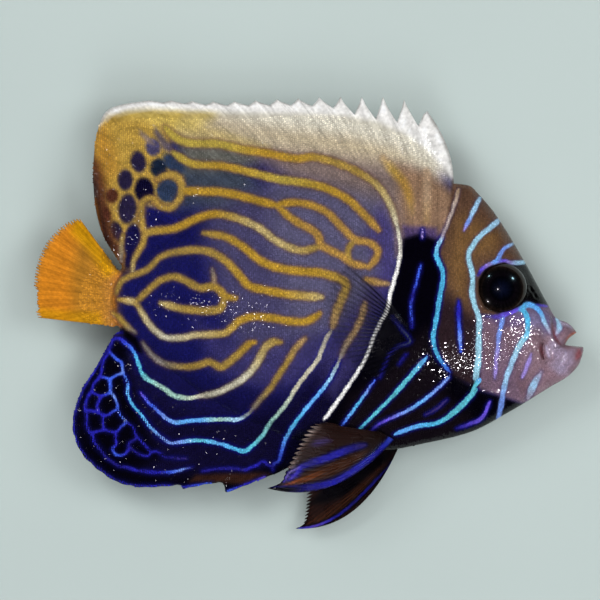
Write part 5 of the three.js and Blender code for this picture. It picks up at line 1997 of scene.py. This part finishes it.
@dataclass(frozen=True)
class CheekSpine:
    """The spine at the lower corner of a cheek plate, lying back along the gill cover."""

    side: Side
    root: tuple[float, float] = (39.2, -14.6)
    tip: tuple[float, float] = (36.6, -18.9)
    radius: float = 0.7
    point: float = 0.12
    stand: float = 0.3
    curve: float = 0.35

    def build(self) -> bpy.types.Object:
        """Makes the spine and fixes it to the fish."""
        root, tip = np.array(self.root), np.array(self.tip)
        length = float(np.hypot(*(tip - root)))
        run = (tip - root) / length
        shape = bmesh.new()
        bmesh.ops.create_cone(shape, cap_ends=True, segments=20, radius1=self.radius, radius2=self.point,
                              depth=length)
        along = [edge for edge in shape.edges if abs(edge.verts[0].co.z - edge.verts[1].co.z) > length / 2]
        bmesh.ops.subdivide_edges(shape, edges=along, cuts=14, use_grid_fill=True)
        places = coordinates(shape)
        share = np.clip(places[:, 2] / length + 0.5, 0, 1)
        swell = np.sqrt(np.clip(share / 0.12, 0.15, 1)) * np.sqrt(np.clip((1 - share) / 0.06, 0.3, 1))
        side_way, up = places[:, 0] * swell, places[:, 1] * swell
        x = root[0] + run[0] * share * length - run[1] * side_way
        y = root[1] + run[1] * share * length + run[0] * side_way
        bend = self.curve * np.sin(np.pi * share)
        x, y = x + run[1] * bend * 0.5, y - run[0] * bend * 0.5
        axis = root + run * (share * length)[:, None]
        stand = BODY.half_thickness(*axis.T) + self.stand + self.radius * (1 - 0.45 * share)
        z = MIDPLANE + self.side.value * (stand + up)
        move(shape, np.column_stack([x, y, z]) * MM)
        bmesh.ops.recalc_face_normals(shape, faces=shape.faces)
        mesh = to_mesh(f"cheek_spike_{self.side.word}", shape)
        material = SpineFinish(self.root, length).material()
        return place_piece(mesh, material, "spine", f"cheek_spine_{self.side.word}")


@dataclass(frozen=True)
class BreastFin:
    """The clear fin behind a gill cover, folded back along the flank."""

    side: Side
    form: BreastFinForm = BREAST_FIN
    columns: int = 184
    rows: int = 40

    def place(self, u: Array, v: Array) -> tuple[Array, Array, Array]:
        """Places the flat fin for the shell maker.

        Args:
            u: Share of the way across.
            v: Share of the way along.

        Returns:
            x, y and half of the thickness at each place.
        """
        root, tip = Spline(self.form.root).at(u), Spline(self.form.margin).at(u)
        between = 0.5 - 0.5 * np.cos(2 * np.pi * self.form.rays * u)
        reach = v * (1 - 0.05 * between**2 * ease(v, 0.7, 1))
        x, y = (root + (tip - root) * reach[:, None]).T
        x = x + (0.6 + u) * 4 * v * (1 - v)
        half = self.form.half + self.form.ridge * (1 - between) ** 3 * (1 - 0.6 * v)
        return x, y, half * border(self.columns, self.rows, u, v)

    def build(self) -> bpy.types.Object:
        """Makes the fin and fixes it to the fish."""
        shape = leaf(self.columns, self.rows, self.place)
        places = coordinates(shape)
        x, y, off = places.T
        ray = ease(np.abs(off), self.form.half * 0.9, self.form.half + self.form.ridge * 0.5)
        along = self.form.root[0][0] - x
        ray = ray * (0.15 + 0.85 * ease(along, 1, 4)) * (1 - 0.62 * ease(along, 6, 13))
        stand = BODY.half_thickness(x, y) + self.form.stand
        if self.side is Side.LEFT:
            stand = np.minimum(stand, MIDPLANE - self.form.left_height)
        move(shape, np.column_stack([x, y, MIDPLANE + self.side.value * stand + off]) * MM)
        mesh = to_mesh(f"breast_fin_{self.side.word}", shape)
        number_attribute(mesh, "ray", ray)
        material = ClearFinFinish(f"clear_membrane_{self.side.word}").material()
        return place_piece(mesh, material, "clear_membrane", f"pectoral_fin_{self.side.word}")


@dataclass(frozen=True)
class BellyFin:
    """A long pointed fin under one side of the breast, its rear ray tips free."""

    side: Side
    root: Points
    margin: Points
    bow: tuple[float, float]
    rise: tuple[float, float]
    pattern: Pattern
    rays: int = 20
    columns: int = 320
    rows: int = 60
    half: float = 0.13
    ridge: float = 0.12
    fringe: float = 0.13
    free: tuple[float, float] = (0.2, 0.6)  # where along the margin the rays begin to come free
    clearance: float = 0.6
    streaks: tuple[float, float] = (0.3, 0.22)  # how strongly wide and fine rays show in the colour

    def place(self, u: Array, v: Array) -> tuple[Array, Array, Array]:
        """Places the flat fin for the shell maker.

        Args:
            u: Share of the way across.
            v: Share of the way along.

        Returns:
            x, y and half of the thickness at each place.
        """
        root, tip = Spline(self.root).at(u), Spline(self.margin).at(u)
        between = 0.5 - 0.5 * np.cos(2 * np.pi * self.rays * u)
        loose = ease(u, *self.free)
        reach = v * (1 - (0.01 + self.fringe * loose) * between**1.5 * ease(v, 0.6, 1))
        x, y = (root + (tip - root) * reach[:, None]).T
        bend = 4 * v * (1 - v) * (1 - u)
        x, y = x + self.bow[0] * bend, y + self.bow[1] * bend
        half = self.half + self.ridge * (1 - between) ** 2 * (1 - 0.75 * v)
        half = half + 0.1 * bell(u, 0.08) * (1 - v)
        return x, y, half * border(self.columns, self.rows, u, v)

    def build(self) -> bpy.types.Object:
        """Makes the fin, paints it and fixes it to the fish."""
        shape = leaf(self.columns, self.rows, self.place)
        places = coordinates(shape)
        x, y, off = places.T
        share = np.clip((self.root[0][0] - x) / (self.root[0][0] - self.margin[0][0]), 0, 1)
        rise = self.rise[0] + (self.rise[1] - self.rise[0]) * share
        height = np.maximum(BODY.half_thickness(x, y) + self.clearance, rise)
        move(shape, np.column_stack([x, y, MIDPLANE + self.side.value * height + off]) * MM)
        mesh = to_mesh(f"belly_fin_{self.side.word}", shape)
        paint = self.pattern.paint(np.column_stack([x, y]))
        turn = np.degrees(np.arctan2(y - self.root[0][1] - 1, self.root[0][0] + 3 - x))
        wide, fine = self.streaks
        paint.under *= 1 + (wide * np.sin(turn * 3.6) + fine * np.sin(turn * 8.3 + 1))[:, None]
        dress(mesh, paint, np.zeros(len(places)))
        material = CoatFinish(f"wet_fin_{self.side.word}", grain=900.0, depth=0.6).material()
        return place_piece(mesh, material, "fin_membrane", f"pelvic_fin_{self.side.word}")


def belly_fins() -> tuple[BellyFin, BellyFin]:
    """Returns the two belly fins as the photo shows them, the right one over the left one."""
    right = BellyFin(
        Side.RIGHT, root=((19.6, -28.8), (16.6, -27)),
        margin=path("-9.4,-39.8 -6.3,-38.4 -5,-35.4 -2.2,-29.8 0.2,-25.9 3.4,-24.7 6,-25.4"),
        bow=(0.4, -5), rise=(3, 5.2),
        pattern=RIGHT_BELLY_PATTERN)
    left = BellyFin(
        Side.LEFT, root=((20.6, -31.2), (17.4, -30.2)),
        margin=path("-3,-49.75 -1.2,-48.6 -0.6,-44.6 -0.2,-41 1.6,-38.6 4.4,-36.4"),
        bow=(1.6, -5), rise=(2.8, 5.6), fringe=0.32, free=(0.04, 0.3),
        pattern=LEFT_BELLY_PATTERN)
    return right, left


@dataclass
class Studio:
    """Pale floor, soft lights and a camera straight above the fish."""

    middle: tuple[float, float] = (-0.00196, 0.00322)
    view_width: float = 0.138
    distance: float = 0.8
    sensor: float = 36.0
    floor_size: float = 12.0
    floor_tone: tuple[int, int, int] = (136, 146, 144)
    surround: tuple[float, float, float] = (0.245, 0.285, 0.28)
    sun_power: float = 2.5
    sun_angle: float = 1.6

    def camera(self) -> None:
        """Adds the camera, its frame as wide as the photo's at the height of the flank."""
        data = bpy.data.cameras.new("camera")
        data.sensor_width = self.sensor
        data.lens = self.sensor * self.distance / self.view_width
        data.clip_start, data.clip_end = 0.01, 10
        camera = new_object("camera", data)
        camera.location = (*self.middle, MIDPLANE * MM + self.distance)
        bpy.context.scene.camera = camera

    def floor(self) -> bpy.types.Object:
        """Adds the floor that the fish lies on."""
        shape = bmesh.new()
        bmesh.ops.create_grid(shape, x_segments=2, y_segments=2, size=self.floor_size / 2)
        floor = new_object("floor", to_mesh("floor", shape))
        nodes = Nodes("pale_floor")
        tone = to_light(np.array(self.floor_tone) / 255)
        colour = nodes.mix(nodes.spread(nodes.noise(9.0, 2.0), 0.0, 1.0, 0.3, 0.7), (*tone, 1),
                           (*(tone * 0.95), 1))
        floor.data.materials.append(nodes.finish(Base_Color=colour, Roughness=0.6))
        return floor

    def far_floor(self, floor: bpy.types.Object) -> None:
        """Lights the floor evenly out to the horizon, where it meets a plain surround.

        Args:
            floor: The floor, the only piece that this light falls on.
        """
        data = bpy.data.lights.new("floor light", "SUN")
        data.energy, data.angle = self.sun_power, self.sun_angle
        lamp = new_object("floor light", data)
        lamp.location.z = 1
        self.shine_on(lamp, [floor])
        world = bpy.data.worlds.new("surround")
        world.use_nodes = True
        world.node_tree.nodes["Background"].inputs["Color"].default_value = (*self.surround, 1)
        world.cycles_visibility.diffuse = False
        world.cycles_visibility.glossy = False
        bpy.context.scene.world = world

    def light(self, name: str, place: tuple[float, float, float], size: float, power: float,
              tint: tuple[float, float, float] = (1, 1, 1), sparkle: bool = False) -> bpy.types.Object:
        """Adds a square light that faces the fish.

        Args:
            name: The light's name.
            place: Where it stands, in metres.
            size: Length of its side in metres.
            power: Its power in watts.
            tint: Its colour.
            sparkle: Whether it shows only as small points in the gloss, or only as soft light.

        Returns:
            The light.
        """
        data = bpy.data.lights.new(name, "AREA")
        data.size, data.energy, data.color = size, power, tint
        lamp = new_object(name, data)
        lamp.location = place
        aim = Vector((0, 0, 0.01)) - Vector(place)
        lamp.rotation_mode = "QUATERNION"
        lamp.rotation_quaternion = aim.to_track_quat("-Z", "Y")
        lamp.visible_glossy = sparkle
        lamp.visible_diffuse = not sparkle
        return lamp

    @staticmethod
    def shine_on(lamp: bpy.types.Object, pieces: list[bpy.types.Object]) -> None:
        """Lets a light fall on some pieces only.

        Args:
            lamp: The light.
            pieces: The pieces.
        """
        group = bpy.data.collections.new(lamp.name)
        for piece in pieces:
            group.objects.link(piece)
        lamp.light_linking.receiver_collection = group

    def build(self) -> None:
        """Sets up floor, camera, lights and the plain surround."""
        floor = self.floor()
        self.camera()
        self.light("key", (-0.36, 0.34, 0.46), 0.30, 3.7)
        self.light("fill", (0.44, 0.10, 0.42), 0.34, 2.8)
        self.light("low", (0.06, -0.50, 0.40), 0.34, 2.8, (0.96, 0.98, 1.0))
        self.far_floor(floor)
        bpy.context.scene.view_settings.view_transform = "Standard"

    def glitter(self, skin: list[bpy.types.Object], scales: list[bpy.types.Object],
                others: list[bpy.types.Object]) -> None:
        """Adds small lights that only some pieces catch, where the photo's fish glitters.

        Args:
            skin: The skin.
            scales: All scales.
            others: Eyes, spines, breast fins and belly fins.
        """
        white, cyan = (1.0, 0.94, 1.0), (0.5, 0.85, 1.0)
        for name, lit, place, size, power, tint in (
                ("glitter on the cheek", scales, (0.25, -0.165, 0.46), 0.02, 1.1, white),
                ("glitter on the muzzle", scales, (0.438, -0.056, 0.46), 0.02, 0.9, white),
                ("glitter on the flank", scales, (-0.085, -0.005, 0.46), 0.014, 0.06, white),
                ("gloss of the lips", skin + scales, (0.348, -0.126, 0.46), 0.02, 0.2, white),
                ("glint above", others, (0.03, 0.03, 0.62), 0.016, 0.2, white),
                ("glint from the tail", others, (-0.30, -0.36, 0.36), 0.02, 0.8, white),
                ("glint from the back", others, (-0.28, 0.46, 0.40), 0.05, 0.5, cyan),
                ("glint from the snout", others, (0.46, 0.34, 0.38), 0.06, 0.7, cyan)):
            self.shine_on(self.light(name, place, size, power, tint, sparkle=True), lit)


def main() -> None:
    """Builds the fish piece by piece."""
    logging.basicConfig(level=logging.INFO, format="%(name)s: %(message)s")
    studio = Studio()
    studio.build()
    skin = Skin().build()
    scales = ScaleCoat(skin).build()
    others = [kind(side).build() for side in Side for kind in (Eye, CheekSpine, BreastFin)]
    others += [fin.build() for fin in belly_fins()]
    studio.glitter([skin], scales, others)


if __name__ == "__main__":
    main()
